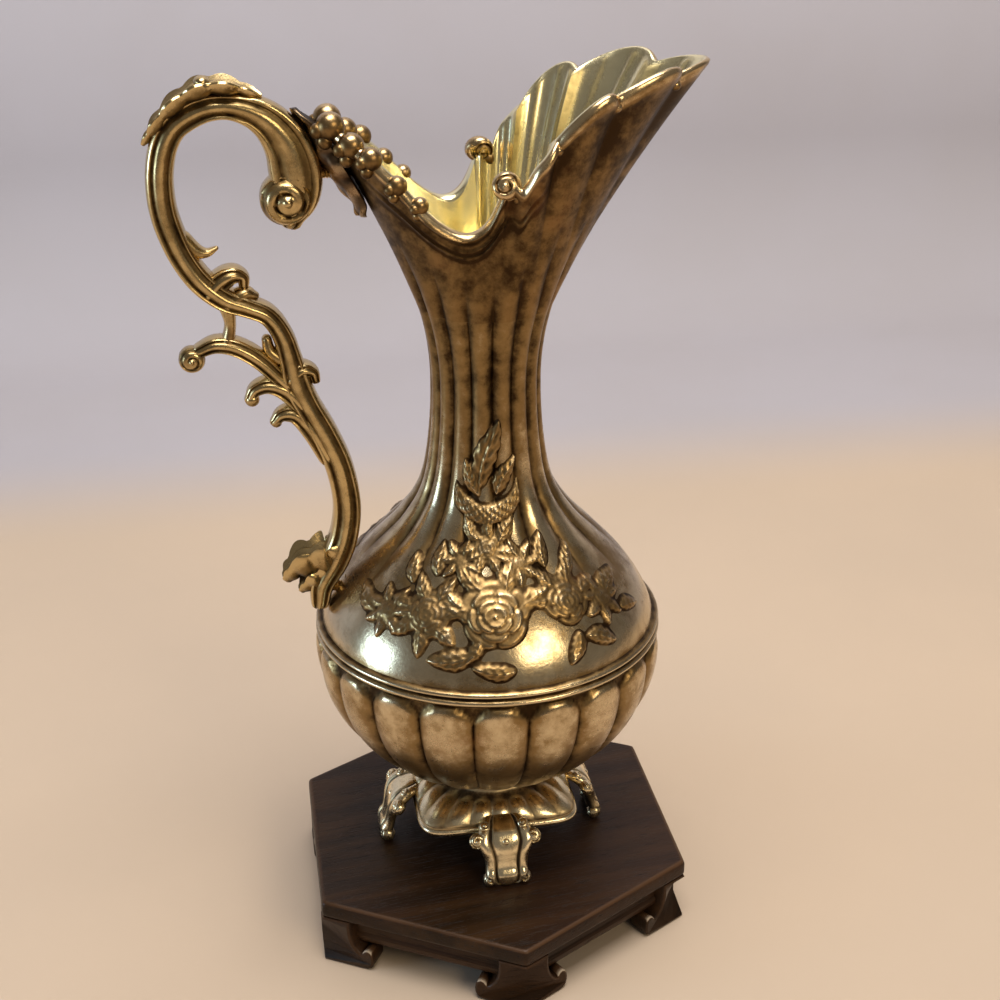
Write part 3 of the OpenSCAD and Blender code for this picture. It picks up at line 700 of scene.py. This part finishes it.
def reeds(angle, z):
    """Height of the reeds over the plain vessel, and how bright they are."""
    strength = step(z, 84, 102) * (1 - 0.15 * step(z, WAIST_Z, NECK_Z))
    crown = lobes(angle, REEDS, REED_AT, 0.75)
    bright = 0.85 * strength * (1 - 0.4 * step(z, 100, 140)) * (crown - 0.62)
    return strength * (1.5 * crown - 1.05), 0.55 - 0.27 * step(z, 100, 150) + bright


angle = np.linspace(REED_AT, REED_AT + 360, REEDS * LOBE_STEPS + 1)[:-1]
z = np.concatenate([np.linspace(BELT_TOP, 82, 12), np.linspace(83, NECK_Z, 84)])[:, None]
height, rub = reeds(angle[None], z)
rub = rub + 0.30 * (1 - step(z, 80, 90)) - 0.35 * (1 - step(z, BELT_TOP, 74))
rub = np.clip(rub, 0.11 + 0.11 * step(z, 95, 120), 1)
outer = around(angle[None], vessel_r(z) + height, z)
inner_z = np.linspace(NECK_Z, BELT_TOP, 46)[:, None]
rows = np.concatenate([outer, around(angle[None], vessel_r(inner_z) - WALL - 0.1, inner_z)])
wear_and_highlight = np.pad(rub, ((0, len(inner_z)), (0, 0)), constant_values=0.2)
place_piece("reeded_body", [shell(rows, wear_and_highlight, loop=True)], body_look, "upper_body", 60)

# ---------------------------------------------------------------------------
# Rose sprays: a bouquet in relief on each flank of the shoulder, with roses,
# a bud, leaves, a latticed garland and flame leaves climbing the neck. Each is
# chased and darkened between its petals.


def rose(x, y, size, turn):
    """Height in mm of an open rose of the given radius on flat ground."""
    far, way = np.hypot(x, y) / size, np.arctan2(y, x) + turn
    height = np.zeros(np.broadcast(x, y).shape)
    rings = (
        (1, 5, 0, .62), (.76, 5, .3, .6), (.53, 4, .58, .52), (.33, 3, .8, .4))
    for ring, (reach, petals, base, rise) in enumerate(rings):
        across = ((way + ring * 0.7) * petals / (2 * np.pi)) % 1
        edge = reach * (0.84 + 0.16 * np.sin(np.pi * across) ** 0.5)
        inside = 1 - step(far / edge, 0.93, 1.0)
        cup = 0.25 + 0.75 * (far / edge) ** 2.2 - 0.35 * step(far / edge, 0.82, 0.97)
        fold = 1 - 0.55 * np.exp(-((np.minimum(across, 1 - across)) / 0.07) ** 2)
        fold = fold + 0.22 * (across - 0.5)
        height = np.maximum(height, inside * (base + rise * cup * fold))
    heart = 1 - step(far, 0.0, 0.17)
    return np.maximum(height, heart * 1.25) * 0.25 * size ** 0.85


def leaf(x, y, length, width, way, veins=5):
    """Height in mm of a toothed leaf that points along way (degrees)."""
    c, s = math.cos(math.radians(way)), math.sin(math.radians(way))
    along, aside = (x * c + y * s) / length + 0.5, (-x * s + y * c)
    aside = aside - 0.10 * width * np.sin(np.pi * along * 1.4)
    t = np.clip(along, 0, 1)
    half = width / 2 * np.sin(np.pi * t ** 0.8) ** 0.75
    half = half * (0.82 + 0.18 * np.abs(np.sin(np.pi * (t * veins + 0.25)))) + 1e-3
    u = np.abs(aside) / half
    inside = (along > 0) & (along < 1) & (u < 1)
    dome = np.sqrt(np.clip(1 - u ** 2.6, 0, 1)) * (0.55 + 0.45 * np.sin(np.pi * t))
    rib = 0.30 * np.exp(-(aside / 0.28) ** 2) - 0.16 * np.exp(-((np.abs(aside) - 0.6) / 0.35) ** 2)
    side_veins = 0.14 * np.cos(2 * np.pi * (t * veins - 1.1 * u))
    return np.where(inside, np.clip(dome * 1.05 + (rib + side_veins) * dome, 0, None), 0)


# Motifs as (angle, height on the ewer, size ...), for the flank at -90 degrees.
ROSES = (
    (-96, 89, 9.6, .3), (-64.5, 89.5, 6.9, 1.1), (-124, 88, 6.7, 2), (-99, 102, 4.6, .6),
    (-47, 87, 4.4, 1.7), (-142, 86.5, 4.3, .2), (-81, 98.5, 3.6, .9), (-114, 99, 3.4, 1.3))
LEAVES = (
    (-112, 79.5, 12, 5.6, 196), (-97, 77.2, 11, 4.6, 178), (-55, 79.5, 10, 5, -24),
    (-67, 79.3, 9, 4.6, -120), (-37, 89, 11, 5.4, 24), (-52, 97, 9, 4.4, 62),
    (-66, 100, 10, 4.4, 78), (-34, 82, 9, 4.2, -14), (-155, 87, 11, 5.2, 158),
    (-139, 96, 9, 4.4, 116), (-126, 99, 9.5, 4.4, 100), (-86, 106, 7.5, 3.6, 58),
    (-111, 106, 7.5, 3.6, 122), (-104, 81.5, 8, 4, 244), (-97, 124.5, 18, 6.4, 76),
    (-82, 118.5, 11, 4.4, 62), (-113, 118, 10, 4.2, 116), (-76, 92, 7, 3.6, 28),
    (-113, 91.5, 7, 3.6, 150))
SPRAY_CELL = 0.36
patch_z = np.linspace(73.2, 136, 800)
patch_arc = np.r_[0, np.cumsum(np.hypot(np.diff(patch_z), np.diff(vessel_r(patch_z))))]
arc = np.arange(0, patch_arc[-1], SPRAY_CELL)
z = np.interp(arc, patch_arc, patch_z)[:, None]
angle = np.linspace(-172, -22, 320)[None]
ground = vessel_r(z)


def offsets(at, height):
    """Distances along the surface, in mm, from a point given by angle and height."""
    return np.radians(angle - at) * ground, arc[:, None] - np.interp(height, patch_z, patch_arc)


relief = np.zeros((len(arc), angle.shape[1]))
for at, height, length, width, way in LEAVES:
    relief = np.maximum(relief, leaf(*offsets(at, height), length, width, way))
GARLAND_AT = -98
garland_z = 109.0 + 5.5 * ((angle - GARLAND_AT) / 30) ** 2
garland = np.abs((arc[:, None] - np.interp(garland_z, patch_z, patch_arc)))
along_garland = np.radians(angle - GARLAND_AT) * ground
band = np.sqrt(np.clip(1 - (garland / 2.7) ** 2, 0, 1))
band = band * (1 - step(np.abs(angle - GARLAND_AT), 26, 31))
lattice = np.minimum(*(np.abs(np.sin(np.pi * (along_garland + way * garland) / 1.9))
                       for way in (1, -1)))
relief = np.maximum(relief, band * (0.85 + 0.55 * lattice ** 0.6))
for at, height, size, turn in ROSES:
    x, y = offsets(at, height)
    for way in np.arange(7) * 360 / 7 + math.degrees(turn):
        aside, on = math.cos(math.radians(way)), math.sin(math.radians(way))
        if on < -0.3 and size > 5 and at > -110:
            continue
        ring_leaf = leaf(x - aside * size * 1.12, y - on * size * 1.12, 0.95 * size + 1.5,
                         0.5 * size + 1.2, way + 14, 4)
        relief = np.maximum(relief, 0.85 * ring_leaf)
for at, height, size, turn in ROSES:
    relief = np.maximum(relief, rose(*offsets(at, height), size, turn))


def blurred(field, times):
    """Field softened over its neighbours."""
    for _ in range(times):
        field = np.pad(field, 1, mode="edge")
        field = (field[:-2, 1:-1] + field[2:, 1:-1] + field[1:-1, :-2] + field[1:-1, 2:]
                 + 2 * field[1:-1, 1:-1]) / 6
    return field


relief = blurred(relief, 1)
near = step(blurred((relief > 0.15).astype(float), 16), 0.02, 0.35)
proud = relief - blurred(relief, 12)
wear_and_highlight = np.clip(0.27 + 1.0 * proud + 0.17 * step(relief, 0.1, 1.0), 0, 1)
wear_and_highlight = np.where(relief > 0.06, wear_and_highlight, 0.05 + 0.35 * (1 - near))
reed_height, _ = reeds(angle, z)
base = ground + reed_height * (1 - step(relief, 0.0, 0.5))
front = base - 0.14 + 0.20 * near + np.minimum(relief, 2.4)
kept = near > 0.02
kept_cells = kept[:-1, :-1] & kept[1:, :-1] & kept[:-1, 1:] & kept[1:, 1:]
rows, columns = relief.shape
number = np.arange(rows * columns).reshape(rows, columns)
quads = np.stack([number[:-1, :-1], number[:-1, 1:], number[1:, 1:], number[1:, :-1]],
                 -1)[kept_cells]
used, quads = np.unique(quads, return_inverse=True)
quads = quads.reshape(-1, 4)
edges = np.sort(np.concatenate([quads[:, [k, (k + 1) % 4]] for k in range(4)]), 1)
_, first, times = np.unique(edges, axis=0, return_index=True, return_counts=True)
directed = np.concatenate([quads[:, [k, (k + 1) % 4]] for k in range(4)])[first[times == 1]]
for side, name in ((1, "front"), (-1, "back")):
    outside = around(side * angle, front, z).reshape(-1, 3)[used]
    inside = around(side * angle, base - 1.0, z).reshape(-1, 3)[used]
    count = len(used)
    faces = quads.tolist() + (quads[:, ::-1] + count).tolist()
    faces += [(b, a, a + count, b + count) for a, b in directed.tolist()]
    mesh = bpy.data.meshes.new("rose_spray_" + name)
    mesh.from_pydata(row_frame(np.concatenate([outside, inside])), [], faces)
    if side < 0:
        mesh.flip_normals()
    finish_piece("rose_relief_" + name, mesh, np.tile(wear_and_highlight.reshape(-1)[used], 2), body_look,
                 "rose_spray_" + name)

# ---------------------------------------------------------------------------
# Mouth: a shell-shaped casting brazed to the neck. Its spout is scalloped and
# ribbed like a shell, its sides dip to a rolled lip, and it is gilt inside.
SPOUT_REACH, SPOUT_Z, DIP_Z, BACK_REACH, BACK_Z = 57.0, 218.0, 183.0, 41.0, 208.0
MOUTH_WALL, SCALLOP = 2.2, 1.4
SCALLOP_STEP, LAST_SCALLOP, RIB_STEP = 24, 84, 8
NOTCH_AT, NOTCH_HALF, NOTCH_DEEP = 76.5, 3.6, 0.115
RIM_PLAN = [
    [0, 1], [16, .82], [30, .62], [48, .43], [65, .3], [83, .16], [100, .09], [120, .15],
    [140, .27], [160, .46], [180, (BACK_REACH - NECK_R) / (SPOUT_REACH - NECK_R)]]
RIM_RISE = [
    [0, 1], [16, 1.03], [30, .97], [42, .91], [58, .71], [70, .46], [83, .36], [96, .09],
    [109, 0], [122, .05], [136, .2], [158, .54], [180, (BACK_Z - DIP_Z) / (SPOUT_Z - DIP_Z)]]


def scallops(angle):
    """1 on the crown of each scallop of the spout's rim, 0 between them."""
    aside = np.abs(angle)
    return np.where(aside < LAST_SCALLOP, np.abs(np.cos(aside / SCALLOP_STEP * np.pi)), 0)


def flare(share):
    """How far the mouth has opened out at a share of its height."""
    return 0.8 * share + 0.2 * share ** 2


def mouth(angle, share, inward=0.0):
    """Points of the mouth casting, share 0 at the neck to 1 at the rim."""
    aside = np.abs(angle)
    lobe = scallops(angle)
    rim_r = NECK_R + (SPOUT_REACH - SCALLOP - NECK_R) * smooth(aside, RIM_PLAN) + SCALLOP * lobe
    rim_z = DIP_Z + (SPOUT_Z - DIP_Z) * smooth(aside, RIM_RISE) + SCALLOP * lobe
    cut = (1 - lobe) ** 1.3 * (1 - step(aside, 80, 88))
    notch = np.exp(-((aside - NOTCH_AT) / NOTCH_HALF) ** 2)
    share = share * (1 - 0.034 * cut - NOTCH_DEEP * notch)
    radius = NECK_R + (rim_r - NECK_R) * flare(share)
    radius = radius - 1.5 * step(share, 0.25, 0.95) * cut - inward
    return around(angle, radius, NECK_Z + (rim_z - NECK_Z) * share)


mouth_look = aged_brass("mouth_brass", "bright_brass_mouth", (0.66, 0.50, 0.28),
                        (0.242, 0.150, 0.060), (0.042, 0.023, 0.010))
gilt_look = aged_brass("gilt_brass", "bright_brass_mouth", (0.96, 0.88, 0.56),
                       (0.72, 0.60, 0.30), (0.17, 0.125, 0.055), 0.10)


def hump(value, middle, half):
    """1 at the middle, falling off to either side."""
    return np.exp(-((value - middle) / half) ** 2)


EDGE_SHARE, MOUTH_ROWS = 0.975, 52
angle = np.linspace(-180, 180, 433)[:-1][None]
aside = np.abs(angle)
share = np.linspace(0, EDGE_SHARE, MOUTH_ROWS)[:, None]
sides = step(aside, 55, 80) * (1 - step(aside, 150, 170))
reed, reed_worn = reeds(angle, NECK_Z)
swell = reed * (1 - step(share, 0.12, 0.5))
swell = swell + 0.5 * sides * (hump(share, 0.74, 0.014) + hump(share, 0.81, 0.014))
dip = step(aside, 84, 96) * (1 - step(aside, 125, 145))
lip = 0.75 * step(aside, 8, 25) * hump(share, 0.95, 0.035) + 1.5 * dip * step(share, 0.86, 0.96)
outer = mouth(angle, share, -(swell + lip))
outer_worn = 0.23 + (reed_worn - 0.23) * (1 - step(share, 0.0, 0.45))
outer_worn = outer_worn + 0.45 * step(share, 0.92, 0.96)
outer_worn = outer_worn - 0.4 * sides * (hump(share, 0.775, 0.018) + hump(share, 0.70, 0.02))
valleys = (1 - scallops(angle)) * (aside < 86)
outer_worn = outer_worn - (0.30 * valleys * step(share, 0.55, 0.85)
                           * (1 - step(share, 0.9, 0.95)))
roll = np.linspace(0, np.pi, 9)[1:-1][:, None]
edge_half = (MOUTH_WALL + 1.5 * dip) / 2
rim = mouth(angle, np.full_like(roll, 0.985), edge_half - 1.5 * dip)
rim = rim + around(angle, 1.0, 0.0) * (np.cos(roll) * edge_half)[..., None]
rim[..., 2] += np.sin(roll) * 0.9
inner_share = np.linspace(EDGE_SHARE, 0.0, MOUTH_ROWS)[:, None]
in_spout = aside < LAST_SCALLOP
fine = np.where(in_spout, np.abs(np.cos(aside / RIB_STEP * np.pi)), 0)
ribs = 0.62 * (1 - fine) + 0.7 * (1 - scallops(angle)) * in_spout
ribs = step(inner_share, 0.2, 0.8) * ribs
inner = mouth(angle, inner_share, 1.8 + 0.4 * inner_share + ribs)
inner_worn = 0.80 + 0.12 * step(inner_share, 0.5, 0.9) - 0.55 * step(ribs, 0.3, 0.8) * in_spout
points = np.concatenate([outer, rim, inner])
wear_and_highlight = np.concatenate([outer_worn, np.full(rim.shape[:2], 0.95), inner_worn])
parts = [shell(points, np.clip(wear_and_highlight, 0, 1), loop=True)]
for at in range(SCALLOP_STEP // 2, LAST_SCALLOP, SCALLOP_STEP):
    for hand in (1, -1):
        bead_at = mouth(np.array([hand * at]), np.array([0.955]), 0.2)[0]
        parts.append(ball(bead_at, 1.5, (1, 1, 0.9), 1.0))
# The gilding starts halfway over the rolled edge.
spout = place_piece("shell_mouth", parts, mouth_look, "spout_mouth", 60)
spout.data.materials.append(gilt_look[0])
columns = angle.shape[1]
lining = np.zeros(len(spout.data.polygons), np.int32)
lining[(len(outer) + len(roll) // 2) * columns:(len(points) - 1) * columns] = 1
spout.data.polygons.foreach_set("material_index", lining)

# ---------------------------------------------------------------------------
# Rim volutes: the shell's border curls into a small scroll on either side,
# where the spout meets the dipped lip.
for hand, name in ((1, "left"), (-1, "right")):
    at = mouth(np.array([hand * LAST_SCALLOP]), np.array([1.0]), 1.1)[0]
    centre = at + np.array([0.0, 0.0, 0.2])
    parts = [disc(centre, (-0.35, hand, 0.25), (1, 0, 0.3), 3.6, 4.4, 1.5, 0.8, hand=hand),
             ball(centre + np.array([2.6, hand * 0.6, -2.6]), 1.5, (1, 1, 1.3))]
    place_piece("rim_scroll_" + name, parts, mouth_look, "rim_volute_" + name, 50)

# ---------------------------------------------------------------------------
# Berries: five graded berries on each side of the mouth's back, each with two
# small ones against it, cast one by one and soldered along the rim.
for hand, name in ((1, "left"), (-1, "right")):
    parts = []
    for i, at in enumerate((172, 164, 155, 146, 136)):
        centre = mouth(np.array([hand * at]), np.array([1 - 0.03 * (i % 2)]), 1.1)[0]
        size = 3.5 - 0.32 * i
        out = np.array([centre[0], centre[1], 0]) / np.linalg.norm(centre[:2])
        down = np.array([0, 0, -size])
        parts.append(ball(centre, size, wear_and_highlight=0.66, steps=18))
        parts.append(ball(centre + out * size * 0.85 + 0.25 * down, 0.55 * size, wear_and_highlight=0.5))
        parts.append(ball(centre + out * size * 0.4 + 0.95 * down, 0.55 * size, (1, 1, 1.1), 0.7))
    place_piece("berries_" + name, parts, mouth_look, "rim_berries_" + name, 60)

# ---------------------------------------------------------------------------
# Back leaf: a thick acanthus leaf brazed to the back of the mouth, through
# which the handle's top screw passes. Its tip and tail curl away from the wall.
LEAF_LOW, LEAF_MM, LEAF_LOBES, ACROSS = 184.0, 26.5, 4.5, 33
leaf_look = aged_brass("dark_brass", "aged_brass_handle", (0.34, 0.25, 0.15),
                       (0.12, 0.082, 0.048), (0.024, 0.016, 0.011))
rise = np.linspace(0, 1, 46)
z = LEAF_LOW + LEAF_MM * rise
wall_x = NECK_R + (BACK_REACH - NECK_R) * flare((z - NECK_Z) / (BACK_Z - NECK_Z))
curl_out = 2.6 * step(rise, 0.82, 1.0) + 1.8 * (1 - step(rise, 0.0, 0.16))
lobed = 0.86 + 0.14 * np.abs(np.sin(np.pi * (rise * LEAF_LOBES + 0.2)))
half = np.clip(7.0 * np.sin(np.pi * (0.06 + 0.92 * rise ** 0.9)) ** 0.65 * lobed, 0.3, 7)
thick = 0.6 + 4.2 * np.sin(np.pi * (0.08 + 0.86 * rise)) ** 1.2
u = np.concatenate([np.linspace(-1, 1, ACROSS), np.linspace(1, -1, ACROSS)[1:-1]])
outside = (np.arange(len(u)) < ACROSS).astype(float)
dome = np.sqrt(np.clip(1 - np.abs(u) ** 2.4, 0, 1))
vein = 0.55 * hump(u, 0, 0.10) - 0.35 * hump(np.abs(u), 0.24, 0.12)
side = 0.32 * np.cos(2 * np.pi * (rise[:, None] * LEAF_LOBES - 1.3 * np.abs(u)))
proud = outside * dome * (thick[:, None] + (vein + side) * (0.3 + 0.7 * dome))
proud = proud - (1 - outside) * 0.35
points = np.stack(np.broadcast_arrays(
    -(wall_x + curl_out)[:, None] - proud, half[:, None] * u, z[:, None]), -1)
wear_and_highlight = np.clip(0.45 + 0.9 * (vein + side) * outside - 0.5 * (1 - outside), 0, 1)
place_piece("acanthus_back_leaf", [shell(points, wear_and_highlight)], leaf_look, "back_leaf", 60)

# ---------------------------------------------------------------------------
# Handle: one casting of C and S scrolls with a leafed crest, a rolled volute,
# spurs and a leaf at its foot, chased along its edges. Stations are
# (x, height, half thickness, half width).
handle_look = aged_brass("handle_brass", "aged_brass_handle", (0.60, 0.455, 0.225),
                         (0.27, 0.185, 0.076), (0.034, 0.019, 0.009))
roll_section = [
    (1, 0, .95), (.99, .3, .95), (.94, .58, .9), (.86, .76, .9), (.74, .84, .8),
    (.62, .8, .45), (.54, .7, .22), (.44, .74, .3), (.32, .9, .55), (.12, 1, .8)]
roll_section = both_sides(roll_section + [(-a, b, c) for a, b, c in roll_section[::-1]])
plain_section = [(math.cos(t), math.sin(t), 0.75 + 0.2 * math.cos(2 * t))
                 for t in np.linspace(0, 2 * np.pi, 25)[:-1]]
leaf_section = [
    (.55, 0, 1), (.15, .12, .2), (.5, .3, .8), (.75, .45, 1), (.45, .6, .3), (.8, .78, 1),
    (1.15, .95, 1), (.9, 1.02, 1), (-.1, .9, .5), (-.8, .6, .1), (-1, .3, .05), (-1, 0, .05)]
leaf_section = both_sides(leaf_section)


def leafy(stations, lobes_along):
    """A leaf laid along the handle, whose edges are cut into rounded lobes."""
    path = spline(stations, 8)
    t = np.linspace(0, 1, len(path))
    lobe = np.abs(np.sin(np.pi * (t * lobes_along + 0.3)))
    path[:, 3] *= 0.76 + 0.24 * lobe
    path[:, 2] *= 0.8 + 0.4 * lobe
    return limb(path, leaf_section, 1)


c_scroll = [
    (-47.5, 184.5, 3, 4.6), (-46, 189.5, 5.6, 4.7), (-45.9, 195.6, 6.5, 4.6),
    (-47.3, 201.6, 5.9, 4.4), (-50.5, 206.7, 4.9, 4.3), (-54.8, 210, 4, 4.1),
    (-60.2, 211.7, 3.3, 4), (-65.4, 211.6, 3.3, 4), (-69.9, 210, 3.4, 4),
    (-73.8, 207.4, 3.4, 4), (-76.3, 203.4, 3.4, 4), (-77.7, 198.4, 3.4, 4),
    (-78.2, 193.2, 3.4, 4), (-77.9, 187.6, 3.4, 4), (-76.6, 182, 3.4, 4),
    (-74.2, 175.6, 3.3, 4), (-70.4, 169.6, 3.3, 4), (-65.2, 165, 3.1, 4),
    (-59.6, 162.6, 2.7, 3.8), (-54.8, 160, 2.6, 3.6), (-51.6, 154.8, 2.7, 3.5),
    (-50, 148.2, 3.1, 3.6), (-48.8, 141.8, 3.7, 3.8), (-46.4, 135.6, 3.5, 4),
    (-42.6, 127.6, 3.6, 4.1), (-39.2, 118.2, 3.7, 4.2), (-37.6, 107.6, 3.7, 4.2),
    (-38.6, 98.6, 3.8, 4.3), (-41.4, 91.2, 3.9, 4.5), (-45.2, 84.4, 3.4, 4.4),
    (-46.2, 78.6, 2.6, 3.8)]
parts = [
    limb(c_scroll, roll_section, 5),
    disc((-48.4, 0, 189.2), (0, 1, 0), (1, 0, 0.2), 6.7, 11.6, 1.7, -0.4, 56, -1),
    limb([(-72.4, 151.8, 1.7, 2.8), (-68.2, 153.2, 2.2, 3.0), (-63.2, 152.2, 2.4, 3.2),
          (-57.6, 148.4, 2.4, 3.3), (-51.4, 141.6, 2.2, 3.2)], roll_section, 6),
    disc((-74.4, 0, 149.6), (0, 1, 0), (-1, 0, 0), 3.4, 6.6, 1.4, 0.5, 36),
    limb([(-64.8, 163.2, 2.2, 3.0), (-64.3, 158.2, 1.5, 2.4), (-65.4, 152.8, 1.9, 2.8)],
         plain_section, 6),
    limb([(-60.9, 138.0, 1.4, 1.9), (-59.2, 140.6, 1.9, 2.5), (-55.8, 141.6, 2.2, 3.0),
          (-51.6, 140.0, 2.8, 3.2), (-47.6, 135.6, 2.8, 3.2)], roll_section, 6),
    ball((-60.3, 0, 137.8), 1.9, (1, 1.15, 1), 0.95, 14),
    limb([(-55.0, 131.4, 1.3, 1.7), (-52.8, 133.4, 2.0, 2.4), (-49.2, 133.0, 2.6, 3.0),
          (-45.4, 128.4, 3.0, 3.4), (-42.0, 121.0, 2.6, 3.4)], roll_section, 6),
    ball((-54.6, 0, 131.2), 1.5, (1, 1.15, 1), 0.95),
    limb([(-66.2, 177.6, 0.6, 0.9), (-68.6, 176.6, 1.2, 1.8), (-71.2, 177.4, 1.8, 2.6),
          (-73.8, 180.6, 1.8, 2.8)], plain_section, 6),
    limb([(-60.2, 168.0, 1.3, 2.0), (-60.4, 170.2, 1.7, 2.6), (-62.9, 171.0, 2.4, 3.6),
          (-66.0, 169.4, 2.8, 3.8), (-68.6, 166.6, 2.4, 3.6)], roll_section, 6),
    limb([(-57.6, 165.2, 1.0, 1.6), (-60.0, 166.0, 1.9, 3.0), (-62.8, 164.6, 2.3, 3.4)],
         plain_section, 5),
    limb([(-43.9, 142.2, 1.2, 1.8), (-44.6, 144.4, 1.6, 2.6), (-47.2, 145.2, 2.2, 3.4),
          (-50.0, 143.0, 2.2, 3.4)], roll_section, 5),
    limb([(-55.6, 153.6, 1.3, 1.8), (-55.0, 150.6, 1.6, 2.4), (-52.6, 148.4, 1.8, 2.8)],
         plain_section, 5),
    leafy([(-81.0, 203.6, 0.5, 1.6), (-78.6, 206.4, 1.2, 4.2), (-75.2, 210.4, 1.5, 5.6),
           (-70.2, 214.2, 1.7, 6.4), (-64.6, 216.1, 1.7, 6.6), (-58.6, 215.6, 1.3, 5.2),
           (-53.4, 213.4, 0.7, 2.2)], 5.5),
    ball((-66.4, 0, 217.4), 1.6, (1.2, 1.6, 0.9), 1.0),
    leafy([(-54.2, 86.2, 1.4, 2.0), (-51.6, 89.0, 2.9, 4.4), (-47.0, 90.8, 4.0, 5.4),
           (-42.4, 91.4, 3.8, 5.4), (-38.6, 94.6, 1.8, 3.6)], 3.5),
    leafy([(-50.6, 82.2, 1.0, 1.6), (-48.4, 84.2, 2.2, 3.8), (-45.6, 86.2, 2.6, 4.6),
           (-42.6, 88.0, 2.0, 4.0)], 2.5)]
place_piece("scroll_handle", parts, handle_look, "handle", 55)

# ---------------------------------------------------------------------------
# Fastenings: a hexagon-headed bolt with washer and nut that clamps pedestal,
# collar and bowl, and two slotted brass screws that hold the handle's ends.
steel, n, surface = new_material("bolt_steel")
wear = n.noise(n.add("TexCoord").outputs["Object"], 900.0, 4.0)
colour = n.blend(n.span(wear, 0.35, 0.65), (0.30, 0.28, 0.26), (0.50, 0.49, 0.47))
n.join(colour, surface.inputs["Base Color"])
n.join(n.span(wear, 0.3, 0.7, 0.25, 0.48), surface.inputs["Roughness"])
n.set(surface, Metallic=1.0)
steel_look = (steel, "ewer", "fastener_steel")
brass_look = (handle_look[0], "ewer", "fastener_brass")
BOLT_R, PITCH, SLOT_HALF, SLOT_DEEP = 2.5, 0.35, 0.4, 0.7


def turned(line, hexagonal=False, loop=False):
    """A turned or hexagonal solid about Z from (radius, height) pairs."""
    line = np.array(line, float)
    turn = np.linspace(0, 360, 49)[:-1]
    plan = COS30 / np.cos(np.radians(turn % 60 - 30)) if hexagonal else np.ones(len(turn))
    return shell(around(turn[None], line[:, :1] * plan, line[:, 1:]), 0.7, loop=loop)


threads = [(BOLT_R - 0.25 * (i % 2), 24.5 + 0.4 * i) for i in range(28)]
bolt = [(0.4, 18.5), (BOLT_R, 18.5), *threads, (BOLT_R - 0.4, 35.9), (0.4, 36.0)]
bolt_head = [(0.4, 16.0), (4.6, 16.0), (5.0, 16.35), (5.0, 18.3), (4.8, 18.5), (0.4, 18.5)]
washer = [
    (BOLT_CLEAR, 26.5), (5.8, 26.5), (6, 26.7), (6, 27.3), (5.8, 27.5), (BOLT_CLEAR, 27.5)]
nut = [(BOLT_R, 27.5), (4.6, 27.5), (5.0, 27.9), (5.0, 31.1), (4.6, 31.5), (BOLT_R, 31.5)]
place_piece("clamp_bolt", [turned(bolt), turned(bolt_head, hexagonal=True)],
            steel_look, "foot_bolt", 30)
place_piece("clamp_washer", [turned(washer, loop=True)], steel_look, "foot_washer", 30)
place_piece("clamp_nut", [turned(nut, hexagonal=True, loop=True)], brass_look, "foot_nut", 30)
for node, name in (("handle_top_screw", "top_screw"), ("handle_bottom_screw", "bottom_screw")):
    low, high = ((np.array(corner) - AXIS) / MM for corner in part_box(node))
    screw_r, head = 1.5, 1.5
    length = high[0] - low[0] - head
    line = [(0.3, 0.0), (screw_r - 0.3, 0.0)]
    line += [(screw_r - 0.22 * (i % 2), 0.4 + PITCH * i)
             for i in range(int((length - 0.5) / PITCH))]
    line += [(r, length + up) for r, up in ((screw_r, 0), (2.8, 0), (3.0, 0.2), (2.9, 0.8),
                                            (2.4, 1.25), (1.2, 1.48), (0.3, head))]
    screw = turned(line)["points"]
    in_slot = (np.abs(screw[..., 1]) < SLOT_HALF) & (screw[..., 2] > length + 0.6)
    screw[..., 2] -= np.where(in_slot, SLOT_DEEP, 0)
    middle_z = (low[2] + high[2]) / 2
    laid = np.stack([low[0] + screw[..., 2], screw[..., 1], middle_z + screw[..., 0]], -1)
    place_piece(name, [shell(laid, 0.75)], brass_look, node, 30)
